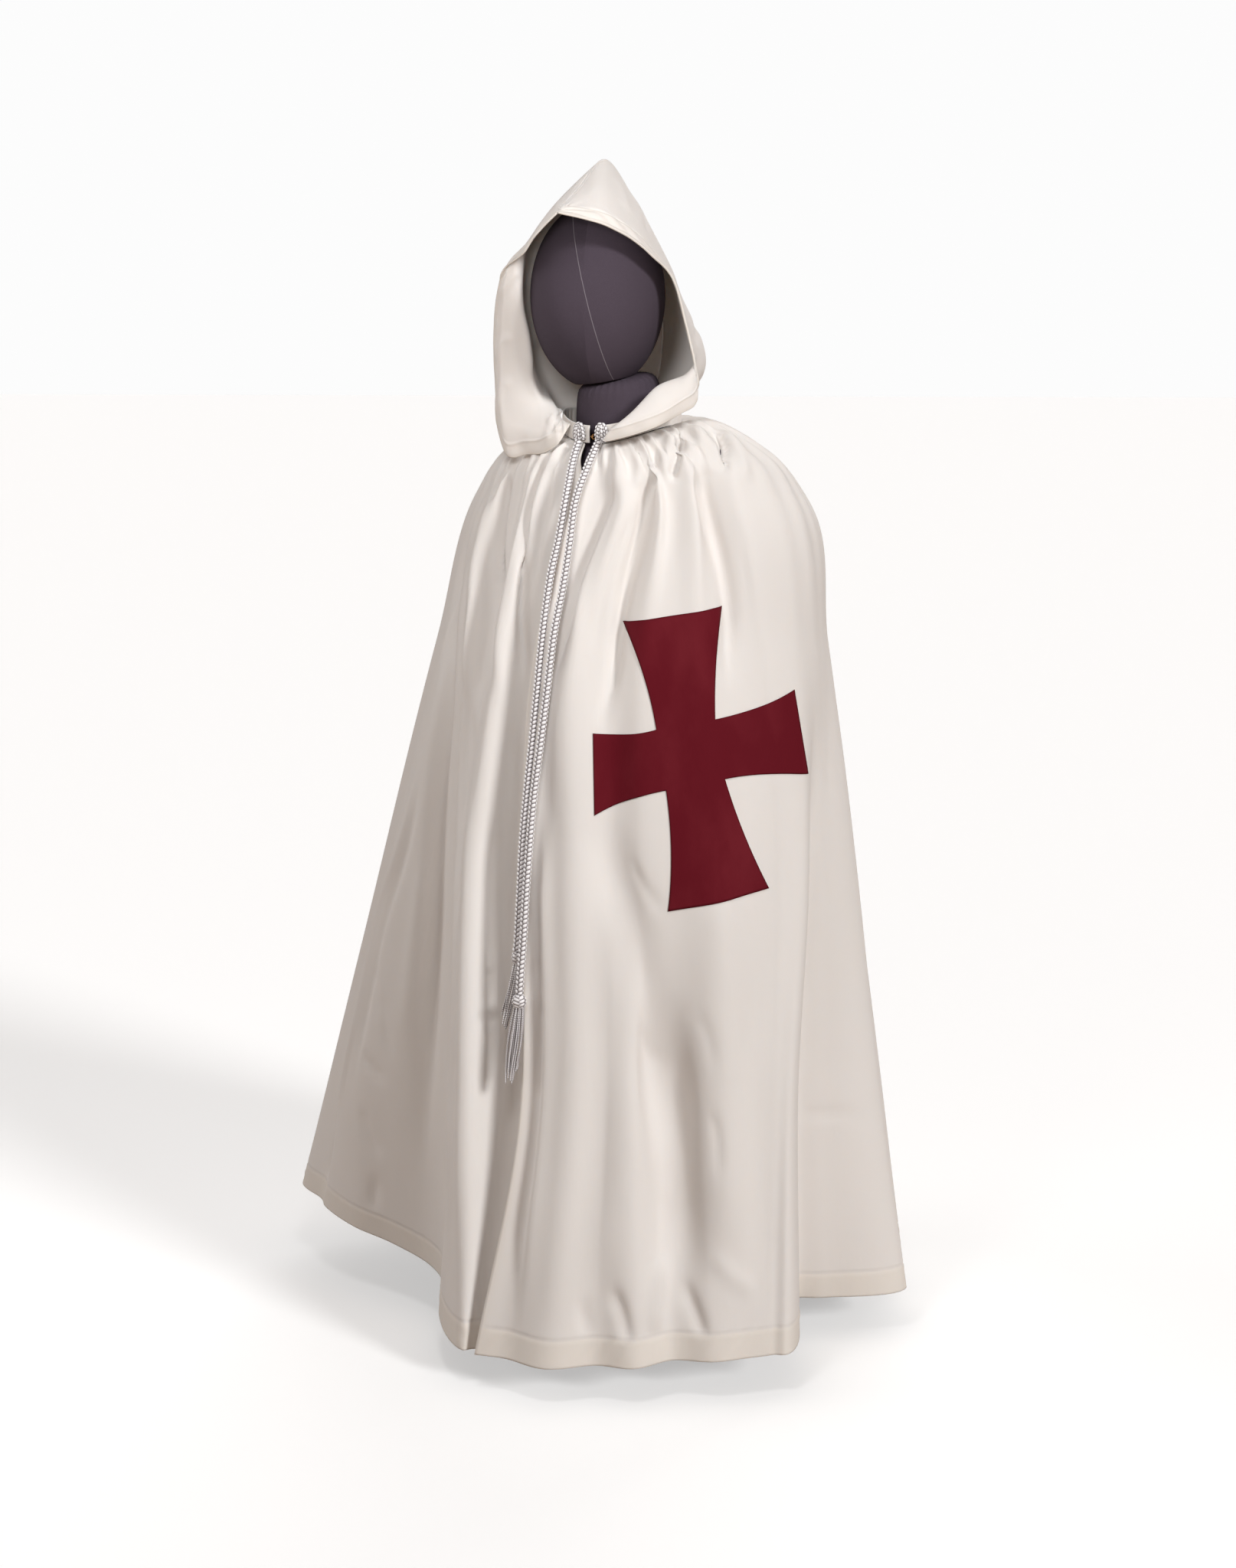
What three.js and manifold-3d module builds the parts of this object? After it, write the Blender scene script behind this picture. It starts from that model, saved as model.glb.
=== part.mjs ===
// A hooded mantle of ivory cloth with a red cross on the left front, worn on a dress form with a head.
// Millimetres, +Z up. The wearer faces -Y and the wearer's left is +X. The origin is the centre of the
// underside of the stand's base. Bearings are degrees round the Z axis from -Y towards +X.
import * as THREE from "three";
import { mergeVertices } from "three/addons/utils/BufferGeometryUtils.js";
import Module from "manifold-3d";

const wasm = await Module();
wasm.setup();

// ---------------------------------------------------------------- driving dimensions
const SEAM_GAP = 0.3; // between pieces that touch
const CLOTH = 1.6; // wall of the mantle and the hood
const HEM_DEPTH = 30; // turned and stitched hem
const HEM_WALL = 2.8;
const HEM_START = 1145; // way down the cloth at which the hem is stitched
const HEM_END = 1175;
const COLUMNS_FRONT = 3; // mesh columns to each fold of the front and the side
const COLUMNS_BACK = 2;
const CASING = 2.8; // wall of the hood at its stitched front edge
const BAND_INNER = 74.6;
const BAND_OUTER = 77;
const BAND_HEIGHT = 22;
const BAND_LIFT = 0.9; // clears the gathers that rise round its foot
const HOOD_LAP = 2; // by which the hood's foot reaches down outside the neckband
const BAND_END_BEARING = 4.2; // half of the gap between the ends of the neckband
const NECK_CENTRE_Y = -48;
const CORD_RADIUS = 4;
const CORD_SIDES = 8;
const CORD_STEPS = 30;
const CROSS_BEARING = 28; // the side of the wearer that the cross is set square to
const CROSS_WALL = 1;
const STRANDS = 12;
const STRAND_RADIUS = 1.2;
const STRAND_SIDES = 3;
const STRAND_STEPS = 3;
const FORM_SIDES = 32;
const BASE_RADIUS = 170;
const BASE_HEIGHT = 14;
const POLE_RADIUS = 16;
const POLE_TOP = 566;

const IVORY = 0xd9d3cb;
const LINEN = 0x443a4a;
const RED = 0x6b1520;
const RAYON = 0xd8d6d8;
const BRASS = 0xb07a3a;
const STEEL = 0x8d8f92;
const PAINTED = 0x2c2a2e;

// ---------------------------------------------------------------- rings of the mantle
// Folds and gathers push cloth that hangs outwards, and lift cloth that lies on the shoulders.
const HANGING = { foldOut: 1, foldUp: 0, rippleOut: 1, rippleUp: 0 };
const LYING = { foldOut: 0.6, foldUp: 0.3, rippleOut: 0.35, rippleUp: 0.9 };

// Each ring is the cloth's outline at one way down from the neck seam, without its folds:
// a centre, the reach to each side, and the height in front, at each side and behind.
// Its gathers stand out by ripple, and it follows the folds' table by the share follow.
const RINGS = [
  { name: "seam", way: 0, cy: -48, left: 76, right: 76, front: 76, back: 76,
    zFront: 1104, zLeft: 1126, zRight: 1126, zBack: 1140, ripple: 1.2, follow: 0, lie: HANGING },
  { name: "gather", way: 30, cy: -40, left: 106, right: 106, front: 100, back: 92,
    zFront: 1088, zLeft: 1131, zRight: 1130, zBack: 1136, ripple: 3.6, follow: 0.35, lie: LYING },
  { name: "crest", way: 95, cy: -15, left: 190, right: 186, front: 135, back: 100,
    zFront: 1064, zLeft: 1090, zRight: 1088, zBack: 1112, ripple: 2.4, follow: 0.75, lie: LYING },
  { name: "shoulder", way: 165, cy: 0, left: 231, right: 228, front: 160, back: 120,
    zFront: 1035, zLeft: 1035, zRight: 1035, zBack: 1035, ripple: 1.2, follow: 1, lie: HANGING },
  { name: "chest", way: 355, cy: 0, left: 257, right: 281, front: 206, back: 165,
    zFront: 850, zLeft: 850, zRight: 850, zBack: 850, ripple: 0.4, follow: 1, lie: HANGING },
  { name: "waist", way: 610, cy: 0, left: 285, right: 349, front: 262, back: 225,
    zFront: 600, zLeft: 600, zRight: 605, zBack: 602, ripple: 0, follow: 1, lie: HANGING },
  { name: "knee", way: 915, cy: 0, left: 316, right: 421, front: 325, back: 290,
    zFront: 300, zLeft: 300, zRight: 326, zBack: 306, ripple: 0, follow: 1, lie: HANGING },
  { name: "hem", way: 1175, cy: 0, left: 347, right: 458, front: 385, back: 340,
    zFront: 41, zLeft: 47, zRight: 94, zBack: 58, ripple: 0, follow: 1, lie: HANGING },
];

// A row for each fold, from the front edge to the centre back: its bearing and how far it stands out
// from the plain outline, at each of these rings.
const FOLD_RINGS = ["shoulder", "chest", "waist", "knee", "hem"];

function foldRows(rows) {
  return rows.map(([fold, ...places]) => {
    const row = { fold };
    FOLD_RINGS.forEach((ring, i) => {
      row[ring] = { bearing: places[i][0], stand: places[i][1] };
    });
    return row;
  });
}

const FOLDS_LEFT = foldRows([
  ["front edge", [-2, 3], [-10, 4], [-5, 3], [2, 3], [-2, 3]],
  ["first valley", [13, -9], [-5, -1], [2, -2], [7, -4], [4, -2]],
  ["first ridge", [21, 6], [6, 10], [11, 12], [14, 13], [12, 14]],
  ["second valley", [32, -10], [19, -10], [21, 0], [21, -4], [20, -5]],
  ["cross, inner", [36, 4], [29, 5], [29, 11], [27, 4], [27, 7]],
  ["first pocket", [41, -6], [38, 6], [37, 12], [35, -16], [34, -11]],
  ["cross, middle", [48, 6], [46, 10], [46, 14], [42, 2], [41, 9]],
  ["long valley", [54, -10], [57, -5], [55, 8], [50, 12], [47, 14]],
  ["cross, outer", [63, 3], [67, 0], [65, 5], [57, 16], [52, 20]],
  ["fold edge", [76, 0], [78, 0], [73, 8], [62, 16], [57, 20]],
  ["behind it", [85, 0], [88, -2], [81, -22], [75, -56], [74, -88]],
  ["side valley", [92, 0], [96, -3], [87, -16], [83, -40], [82, -62]],
  ["side ridge", [100, 2], [104, 2], [101, 3], [97, 6], [95, 13]],
  ["back valley 1", [110, -4], [112, -8], [111, -16], [109, -24], [109, -34]],
  ["back ridge 1", [120, 3], [121, 5], [121, 8], [121, 4], [121, -2]],
  ["back valley 2", [131, -6], [132, -12], [132, -22], [132, -34], [133, -44]],
  ["back ridge 2", [143, 4], [144, 8], [145, 12], [145, 14], [145, 16]],
  ["back valley 3", [155, -6], [156, -14], [156, -26], [157, -36], [157, -46]],
  ["back ridge 3", [168, 4], [169, 6], [169, 10], [169, 12], [169, 14]],
  ["centre back", [180, -4], [180, -8], [180, -16], [180, -20], [180, -24]],
]);
const FOLDS_RIGHT = foldRows([
  ["under edge", [-1, -8], [6, -8], [0, -9], [-7, -9], [-4, -9]],
  ["first valley", [14, -8], [16, -12], [13, -18], [5, -22], [3, -12]],
  ["bright ridge", [21, 7], [22, 12], [19, 12], [11, 8], [6, -2]],
  ["flank", [28, 0], [28, 2], [26, -6], [19, -22], [19, -58]],
  ["behind it", [34, -8], [33, -6], [34, -28], [28, -58], [31, -116]],
  ["dark valley", [41, -6], [40, -8], [42, -38], [40, -78], [42, -128]],
  ["shaded panel", [47, 2], [46, -2], [49, -22], [50, -50], [53, -104]],
  ["panel edge", [54, 0], [53, 0], [55, -8], [58, -26], [61, -64]],
  ["step", [61, -2], [61, -2], [62, -8], [65, -18], [69, -28]],
  ["step valley", [67, -3], [67, -5], [68, -14], [71, -28], [73, -16]],
  ["side ridge", [78, 1], [78, 2], [78, 0], [80, 4], [80, 27]],
  ["side", [91, 1], [92, 1], [92, 0], [92, 0], [92, 8]],
  ["back valley 1", [103, -4], [104, -8], [103, -16], [103, -26], [103, -36]],
  ["back ridge 1", [114, 3], [115, 6], [115, 8], [115, 10], [115, 12]],
  ["back valley 2", [126, -6], [127, -12], [127, -24], [127, -34], [127, -46]],
  ["back ridge 2", [139, 4], [139, 8], [139, 12], [140, 14], [140, 16]],
  ["back valley 3", [151, -6], [152, -12], [152, -22], [152, -32], [152, -42]],
  ["back ridge 3", [165, 4], [166, 8], [166, 12], [166, 14], [166, 14]],
  ["centre back", [180, -4], [180, -8], [180, -16], [180, -20], [180, -24]],
]);
const LEFT = { folds: FOLDS_LEFT, side: 1, seamStart: 4, frontFolds: 12 };
const RIGHT = { folds: FOLDS_RIGHT, side: -1, seamStart: 9, frontFolds: 11 };

// Ways down the cloth of the mesh's rows.
const ROWS = [0, 14, 30, 62, 95, 130, 165, 230, 300, 380, 480, 610, 760, 915, 1040, HEM_START, HEM_END];

// ---------------------------------------------------------------- sections of the hood
// A row for each section of the side towards the head, from the neck up to the brow. Each runs from the
// seam behind, round the side, over the roll where the cloth turns outwards, to the stitched front edge.
const HOOD_LEFT = [
  { seam: [0, 44, 1171], rear: [58, 14, 1164], side: [90, -48, 1152],
    roll: [60, -111, 1145], turn: [42, -143, 1128], edge: [28, -146, 1108] },
  { seam: [0, 56, 1196], rear: [70, 22, 1188], side: [102, -45, 1176],
    roll: [80, -106, 1176], turn: [92, -128, 1150], edge: [86, -133, 1123] },
  { seam: [0, 63, 1222], rear: [76, 25, 1214], side: [111, -38, 1200],
    roll: [106, -82, 1190], turn: [114, -98, 1166], edge: [112, -99, 1142] },
  { seam: [0, 66, 1248], rear: [74, 22, 1240], side: [106, -35, 1224],
    roll: [115, -70, 1208], turn: [121, -79, 1182], edge: [123, -80, 1154] },
  { seam: [0, 64, 1272], rear: [66, 16, 1264], side: [98, -38, 1248],
    roll: [111, -68, 1230], turn: [117, -74, 1206], edge: [122, -74, 1178] },
  { seam: [0, 58, 1298], rear: [54, 10, 1292], side: [84, -42, 1282],
    roll: [97, -66, 1274], turn: [103, -76, 1264], edge: [108, -84, 1255] },
  { seam: [0, 42, 1330], rear: [44, -2, 1326], side: [70, -44, 1324],
    roll: [84, -72, 1320], turn: [92, -88, 1315], edge: [98, -99, 1310] },
  { seam: [0, 10, 1392], rear: [30, -32, 1384], side: [56, -70, 1370],
    roll: [72, -102, 1356], turn: [80, -120, 1346], edge: [85, -131, 1338] },
  { seam: [0, -28, 1428], rear: [26, -62, 1414], side: [48, -98, 1396],
    roll: [62, -128, 1378], turn: [69, -146, 1366], edge: [70, -156, 1358] },
  { seam: [0, -94, 1465], rear: [13, -118, 1446], side: [27, -146, 1424],
    roll: [39, -166, 1402], turn: [45, -176, 1388], edge: [48, -182, 1374] },
  { seam: [-3, -150, 1427], rear: [5, -162, 1419], side: [13, -175, 1409],
    roll: [19, -186, 1398], turn: [23, -192, 1390], edge: [25, -196, 1382] },
  { seam: [-4, -192, 1399], rear: [-2, -195, 1397], side: [-1, -198, 1395],
    roll: [1, -201, 1393], turn: [3, -204, 1391], edge: [5, -207, 1389] },
];
const HOOD_RIGHT = [
  { seam: [0, 44, 1171], rear: [-58, 14, 1164], side: [-88, -50, 1152],
    roll: [-60, -111, 1143], turn: [-46, -141, 1126], edge: [-40, -140, 1106] },
  { seam: [0, 56, 1196], rear: [-70, 22, 1188], side: [-100, -52, 1172],
    roll: [-60, -119, 1150], turn: [-68, -138, 1120], edge: [-64, -138, 1092] },
  { seam: [0, 63, 1222], rear: [-76, 25, 1214], side: [-110, -52, 1194],
    roll: [-78, -119, 1163], turn: [-94, -136, 1124], edge: [-92, -132, 1089] },
  { seam: [0, 66, 1248], rear: [-80, 24, 1240], side: [-117, -56, 1216],
    roll: [-88, -124, 1188], turn: [-120, -138, 1136], edge: [-122, -133, 1087] },
  { seam: [0, 64, 1272], rear: [-80, 22, 1264], side: [-119, -62, 1238],
    roll: [-88, -128, 1212], turn: [-124, -140, 1170], edge: [-141, -129, 1128] },
  { seam: [0, 58, 1298], rear: [-78, 16, 1290], side: [-120, -70, 1264],
    roll: [-89, -134, 1242], turn: [-122, -143, 1205], edge: [-142, -130, 1166] },
  { seam: [0, 42, 1330], rear: [-72, 8, 1322], side: [-117, -80, 1294],
    roll: [-91, -146, 1280], turn: [-117, -151, 1256], edge: [-142, -135, 1232] },
  { seam: [0, 10, 1392], rear: [-58, -12, 1374], side: [-106, -94, 1338],
    roll: [-87, -153, 1322], turn: [-105, -163, 1306], edge: [-128, -151, 1290] },
  { seam: [0, -28, 1428], rear: [-48, -56, 1410], side: [-86, -114, 1374],
    roll: [-78, -161, 1348], turn: [-90, -172, 1337], edge: [-102, -171, 1322] },
  { seam: [0, -94, 1465], rear: [-22, -116, 1438], side: [-44, -142, 1406],
    roll: [-58, -169, 1372], turn: [-62, -181, 1354], edge: [-63, -189, 1341] },
  { seam: [-3, -150, 1427], rear: [-12, -163, 1417], side: [-23, -177, 1403],
    roll: [-32, -188, 1386], turn: [-37, -194, 1373], edge: [-40, -199, 1362] },
  { seam: [-4, -192, 1399], rear: [-6, -195, 1396], side: [-8, -198, 1393],
    roll: [-10, -201, 1390], turn: [-12, -203, 1386], edge: [-14, -205, 1382] },
];
// Bearings, to each side, at which the sections' parts leave the neckband.
const HOOD_NECK_LEFT = { seam: 180, rear: 135, side: 95, roll: 58, turn: 34, edge: 22 };
const HOOD_NECK_RIGHT = { seam: 180, rear: 135, side: 95, roll: 62, turn: 40, edge: 27 };
// Distances from the neckband at which they do: in front the wall lies between the band and this side.
const HOOD_EASE = { seam: 0.9, rear: 0.9, side: 1.1, roll: 2.2, turn: 4, edge: 4 };
const HOOD_PARTS = ["seam", "rear", "side", "roll", "turn", "edge"];
const HOOD_COLUMNS = 15;
const HOOD_ROWS = 20;

// ---------------------------------------------------------------- cords, lying on the front
const CORD_RIGHT = [
  [-17, -131.5, 1107], [-16, -150, 1080], [-11, -176, 1035], [-15, -187, 985], [-19, -200, 941],
  [-21, -215, 873], [-21, -229, 802], [-20, -243, 740], [-19, -256, 687], [-17, -270, 628],
  [-14, -281, 570], [-11, -292, 511], [-11, -295, 496],
];
const CORD_LEFT = [
  [12, -132.5, 1107], [9, -155, 1077], [4, -177, 1035], [2, -188, 985], [-1, -199, 932],
  [-4, -217, 873], [-6, -231, 802], [-7, -245, 740], [-8, -259, 680], [-6, -272, 628],
  [-4, -284, 570], [-1, -296, 512], [0, -304, 470], [0, -307, 448],
];

const TASSEL_LEFT = { width: 19, height: 16, root: 6, length: 92, spread: 3, lean: -2, slope: 0.2 };
const TASSEL_RIGHT = { width: 13, height: 15, root: 4.2, length: 84, spread: 3, lean: -10, slope: 0.15 };

// ---------------------------------------------------------------- small helpers
const radians = (degrees) => (degrees * Math.PI) / 180;
const mix = (a, b, k) => a + (b - a) * k;

// Catmull-Rom through evenly spaced numbers.
function through(values, u) {
  const last = values.length - 1;
  const i = Math.min(Math.max(Math.floor(u), 0), last - 1);
  const k = u - i;
  const b = values[i];
  const c = values[i + 1];
  const a = i > 0 ? values[i - 1] : 2 * b - c;
  const d = i + 1 < last ? values[i + 2] : 2 * c - b;
  return b + 0.5 * k * (c - a + k * (2 * a - 5 * b + 4 * c - d + k * (3 * (b - c) + d - a)));
}

// A smooth curve through points at uneven knots.
function along(knots, points, w) {
  const last = knots.length - 1;
  let i = 0;
  while (i < last - 1 && w > knots[i + 1]) i += 1;
  const slope = (j) => points[j + 1].clone().sub(points[j]).divideScalar(knots[j + 1] - knots[j]);
  const tangent = (j) => {
    if (j === 0) return slope(0);
    if (j === last) return slope(last - 1);
    const before = knots[j] - knots[j - 1];
    const after = knots[j + 1] - knots[j];
    const blend = slope(j - 1).multiplyScalar(after).add(slope(j).multiplyScalar(before));
    return blend.divideScalar(before + after);
  };
  const span = knots[i + 1] - knots[i];
  const k = (w - knots[i]) / span;
  const out = points[i].clone().multiplyScalar(2 * k ** 3 - 3 * k ** 2 + 1);
  out.addScaledVector(points[i + 1], 3 * k ** 2 - 2 * k ** 3);
  out.addScaledVector(tangent(i), span * (k ** 3 - 2 * k ** 2 + k));
  return out.addScaledVector(tangent(i + 1), span * (k ** 3 - k ** 2));
}

function ringPoint(ring, bearing, stand, lift = 0) {
  const sine = Math.sin(radians(bearing));
  const cosine = Math.cos(radians(bearing));
  const across = sine > 0 ? ring.left : ring.right;
  const deep = cosine > 0 ? ring.front : ring.back;
  const reach = 1 / Math.hypot(sine / across, cosine / deep) + stand;
  const zSide = sine > 0 ? ring.zLeft : ring.zRight;
  const zEnd = cosine > 0 ? ring.zFront : ring.zBack;
  return new THREE.Vector3(reach * sine, ring.cy - reach * cosine, mix(zSide, zEnd, cosine ** 2) + lift);
}

// ---------------------------------------------------------------- walls and solids
function geometryOf(points, triangles) {
  const position = new Float32Array(points.length * 3);
  points.forEach((p, i) => p.toArray(position, i * 3));
  const geometry = new THREE.BufferGeometry();
  geometry.setAttribute("position", new THREE.BufferAttribute(position, 3));
  geometry.setIndex(triangles);
  return geometry;
}

function volumeOf(points, triangles) {
  let sum = 0;
  for (let i = 0; i < triangles.length; i += 3) {
    const [a, b, c] = [0, 1, 2].map((j) => points[triangles[i + j]]);
    sum += a.dot(b.clone().cross(c));
  }
  return sum / 6;
}

function closed(points, triangles) {
  if (volumeOf(points, triangles) < 0) triangles.reverse();
  return geometryOf(points, triangles);
}

// A closed wall between two sheets of the same grid.
function wallBetween(outer, inner) {
  const rows = outer.length;
  const columns = outer[0].length;
  const points = [...outer.flat(), ...inner.flat()];
  const at = (sheet, r, c) => (sheet * rows + r) * columns + c;
  const triangles = [];
  const quad = (a, b, c, d) => triangles.push(a, b, c, a, c, d);
  for (let r = 0; r + 1 < rows; r += 1) {
    for (let c = 0; c + 1 < columns; c += 1) {
      quad(at(0, r, c), at(0, r, c + 1), at(0, r + 1, c + 1), at(0, r + 1, c));
      quad(at(1, r, c), at(1, r + 1, c), at(1, r + 1, c + 1), at(1, r, c + 1));
    }
    const side = columns - 1;
    quad(at(0, r, 0), at(0, r + 1, 0), at(1, r + 1, 0), at(1, r, 0));
    quad(at(0, r, side), at(1, r, side), at(1, r + 1, side), at(0, r + 1, side));
  }
  for (let c = 0; c + 1 < columns; c += 1) {
    quad(at(0, 0, c), at(1, 0, c), at(1, 0, c + 1), at(0, 0, c + 1));
    quad(at(0, rows - 1, c), at(0, rows - 1, c + 1), at(1, rows - 1, c + 1), at(1, rows - 1, c));
  }
  return closed(points, triangles);
}

// The outward unit normal of a surface (u, w) -> point, on its left or right side.
function normalAt(surface, u, w, step, turn) {
  const du = surface(u + step.u, w).sub(surface(u - step.u, w));
  const dw = surface(u, w + step.w).sub(surface(u, w - step.w));
  return du.cross(dw).normalize().multiplyScalar(turn);
}

function sheetOf(surface, us, ws, offset) {
  return ws.map((w) => us.map((u) => offset(u, w, surface(u, w))));
}

// Stacked loops of points, closed with a fan at each end.
function loft(loops) {
  const count = loops[0].length;
  const points = loops.flat();
  const middle = (loop) => loop.reduce((sum, p) => sum.add(p), new THREE.Vector3()).divideScalar(count);
  points.push(middle(loops[0]), middle(loops[loops.length - 1]));
  const first = points.length - 2;
  const end = (loops.length - 1) * count;
  const triangles = [];
  for (let i = 0; i < count; i += 1) {
    const j = (i + 1) % count;
    for (let r = 0; r + 1 < loops.length; r += 1) {
      const a = r * count;
      const b = a + count;
      triangles.push(a + i, a + j, b + j, a + i, b + j, b + i);
    }
    triangles.push(first, j, i, first + 1, end + i, end + j);
  }
  return closed(points, triangles);
}

function solidOf(geometry) {
  const plain = geometry.clone();
  plain.deleteAttribute("normal");
  plain.deleteAttribute("uv");
  const merged = mergeVertices(plain, 1e-4);
  const mesh = new wasm.Mesh({
    numProp: 3,
    vertProperties: merged.attributes.position.array,
    triVerts: new Uint32Array(merged.index.array),
  });
  return new wasm.Manifold(mesh);
}

function geometryFrom(solid) {
  const mesh = solid.getMesh();
  const geometry = new THREE.BufferGeometry();
  geometry.setAttribute("position", new THREE.BufferAttribute(mesh.vertProperties, 3));
  geometry.setIndex(new THREE.BufferAttribute(mesh.triVerts, 1));
  return geometry;
}

const fuse = (geometries) => geometryFrom(geometries.map(solidOf).reduce((all, one) => all.add(one)));

function named(name, geometry, colour, roughness = 0.8, metalness = 0) {
  geometry.computeVertexNormals();
  const material = new THREE.MeshStandardMaterial({ color: colour, roughness, metalness });
  const mesh = new THREE.Mesh(geometry, material);
  mesh.name = name;
  return mesh;
}

// ---------------------------------------------------------------- the mantle
// The cloth of one half: u counts folds from the front edge, w is the way down from the neck seam.
function mantleSurface(half) {
  const last = half.folds.length - 1;
  const tables = {};
  for (const ring of FOLD_RINGS) {
    tables[ring] = {
      bearing: half.folds.map((row) => row[ring].bearing),
      stand: half.folds.map((row) => row[ring].stand),
    };
  }
  const pointOn = (ring, u) => {
    const table = tables[ring.name] ?? tables.shoulder;
    const seamBearing = mix(half.seamStart, 180, u / last);
    const bearing = mix(seamBearing, through(table.bearing, u), ring.follow);
    const stand = ring.follow * through(table.stand, u);
    const wave = ring.ripple * Math.cos(2 * Math.PI * u);
    const out = ring.lie.foldOut * stand + ring.lie.rippleOut * wave;
    const up = ring.lie.foldUp * stand + ring.lie.rippleUp * wave;
    return ringPoint(ring, half.side * bearing, out, up);
  };
  const knots = RINGS.map((ring) => ring.way);
  return (u, w) => along(knots, RINGS.map((ring) => pointOn(ring, u)), w);
}

function columnsOf(half) {
  const us = [];
  for (let fold = 0; fold + 1 < half.folds.length; fold += 1) {
    const parts = fold < half.frontFolds ? COLUMNS_FRONT : COLUMNS_BACK;
    for (let part = 0; part < parts; part += 1) us.push(fold + part / parts);
  }
  us.push(half.folds.length - 1);
  return us;
}

const NORMAL_STEP = { u: 0.12, w: 6 };

function mantleHalf(half) {
  const surface = mantleSurface(half);
  const us = columnsOf(half);
  const outward = (u, w) => normalAt(surface, u, w, NORMAL_STEP, -half.side);
  const aside = half.side * SEAM_GAP * 0.6; // parts the halves at the centre back seam
  const outer = sheetOf(surface, us, ROWS, (u, w, p) => p.setX(p.x + aside));
  const inner = sheetOf(surface, us, ROWS, (u, w, p) =>
    p.setX(p.x + aside).addScaledVector(outward(u, w), -(w > HEM_START - 1 ? HEM_WALL : CLOTH)));
  return wallBetween(outer, inner);
}

// ---------------------------------------------------------------- the cross
// Lengths of the arms from the middle, their widths at the ends, and the width where they meet.
const CROSS = {
  up: 170, down: 171, inner: 124, outer: 134,
  endUp: 122, endDown: 124, endInner: 96, endOuter: 105, neck: 72, hollow: 8, tilt: 9.2,
};
const CROSS_CENTRE = { across: 66, height: 730 };

function crossOutline() {
  const half = CROSS.neck / 2;
  const arms = [
    { x: 0, y: 1, length: CROSS.up, end: CROSS.endUp },
    { x: -1, y: 0, length: CROSS.inner, end: CROSS.endInner },
    { x: 0, y: -1, length: CROSS.down, end: CROSS.endDown },
    { x: 1, y: 0, length: CROSS.outer, end: CROSS.endOuter },
  ];
  const shape = new THREE.Shape();
  arms.forEach((arm, i) => {
    const place = (out, side) => new THREE.Vector2(arm.x * out - arm.y * side, arm.y * out + arm.x * side);
    const waist = (half + arm.end / 2) / 2 - CROSS.hollow;
    const hollow = (side) => place((half + arm.length) / 2, side * waist);
    const start = place(half, -half);
    if (i === 0) shape.moveTo(start.x, start.y);
    const corner = [place(arm.length, -arm.end / 2), place(arm.length, arm.end / 2)];
    const back = place(half, half);
    shape.quadraticCurveTo(hollow(-1).x, hollow(-1).y, corner[0].x, corner[0].y);
    shape.lineTo(corner[1].x, corner[1].y);
    shape.quadraticCurveTo(hollow(1).x, hollow(1).y, back.x, back.y);
  });
  return shape;
}

function cross() {
  const surface = mantleSurface(LEFT);
  const us = columnsOf(LEFT).filter((u) => u >= 2 && u <= 10);
  const ws = ROWS.filter((w) => w >= 230 && w <= 760);
  const lifted = (by) => (u, w, p) => {
    p.x += SEAM_GAP * 0.6;
    return p.addScaledVector(normalAt(surface, u, w, NORMAL_STEP, -1), by);
  };
  const top = sheetOf(surface, us, ws, lifted(SEAM_GAP + 0.1 + CROSS_WALL));
  const bottom = sheetOf(surface, us, ws, lifted(SEAM_GAP + 0.1));
  const depth = 400;
  const prism = new THREE.ExtrudeGeometry(crossOutline(), { depth, bevelEnabled: false, curveSegments: 6 });
  prism.rotateZ(radians(CROSS.tilt));
  prism.translate(CROSS_CENTRE.across, 0, 60);
  prism.rotateX(Math.PI / 2);
  prism.translate(0, 0, CROSS_CENTRE.height);
  prism.rotateZ(radians(CROSS_BEARING));
  return geometryFrom(solidOf(wallBetween(top, bottom)).intersect(solidOf(prism)));
}

// ---------------------------------------------------------------- neckband and hood
function bandPoint(radius, bearing, lift) {
  const seam = RINGS[0];
  const p = ringPoint(seam, bearing, radius - seam.front);
  return p.setZ(p.z + lift);
}

function neckband() {
  const steps = 44;
  const low = BAND_LIFT;
  const high = BAND_LIFT + BAND_HEIGHT;
  const bearings = Array.from({ length: steps + 1 }, (_, i) =>
    mix(BAND_END_BEARING, 360 - BAND_END_BEARING, i / steps));
  const sheet = (radius) => [low, high].map((lift) => bearings.map((b) => bandPoint(radius, b, lift)));
  return wallBetween(sheet(BAND_OUTER), sheet(BAND_INNER));
}

function hoodSurface(sections, neck, side) {
  const bearings = HOOD_PARTS.map((part) => side * neck[part]);
  const radii = HOOD_PARTS.map((part) => BAND_OUTER + HOOD_EASE[part]);
  const lift = BAND_LIFT + BAND_HEIGHT - HOOD_LAP;
  const neckPoint = (u) => bandPoint(through(radii, u), through(bearings, u), lift);
  const first = {};
  HOOD_PARTS.forEach((part, i) => {
    first[part] = neckPoint(i).toArray();
  });
  const rows = [first, ...sections];
  const grids = [0, 1, 2].map((axis) => rows.map((row) => HOOD_PARTS.map((part) => row[part][axis])));
  const coordinate = (grid, u, w) => through(grid.map((line) => through(line, u)), w);
  const spline = (u, w) => new THREE.Vector3(...grids.map((grid) => coordinate(grid, u, w)));
  return (u, w) => {
    const point = spline(u, w);
    const settle = Math.max(0, 1 - w); // the lowest row keeps exactly to the neckband
    if (settle > 0) point.addScaledVector(neckPoint(u).sub(spline(u, 0)), settle);
    return point;
  };
}

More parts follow.
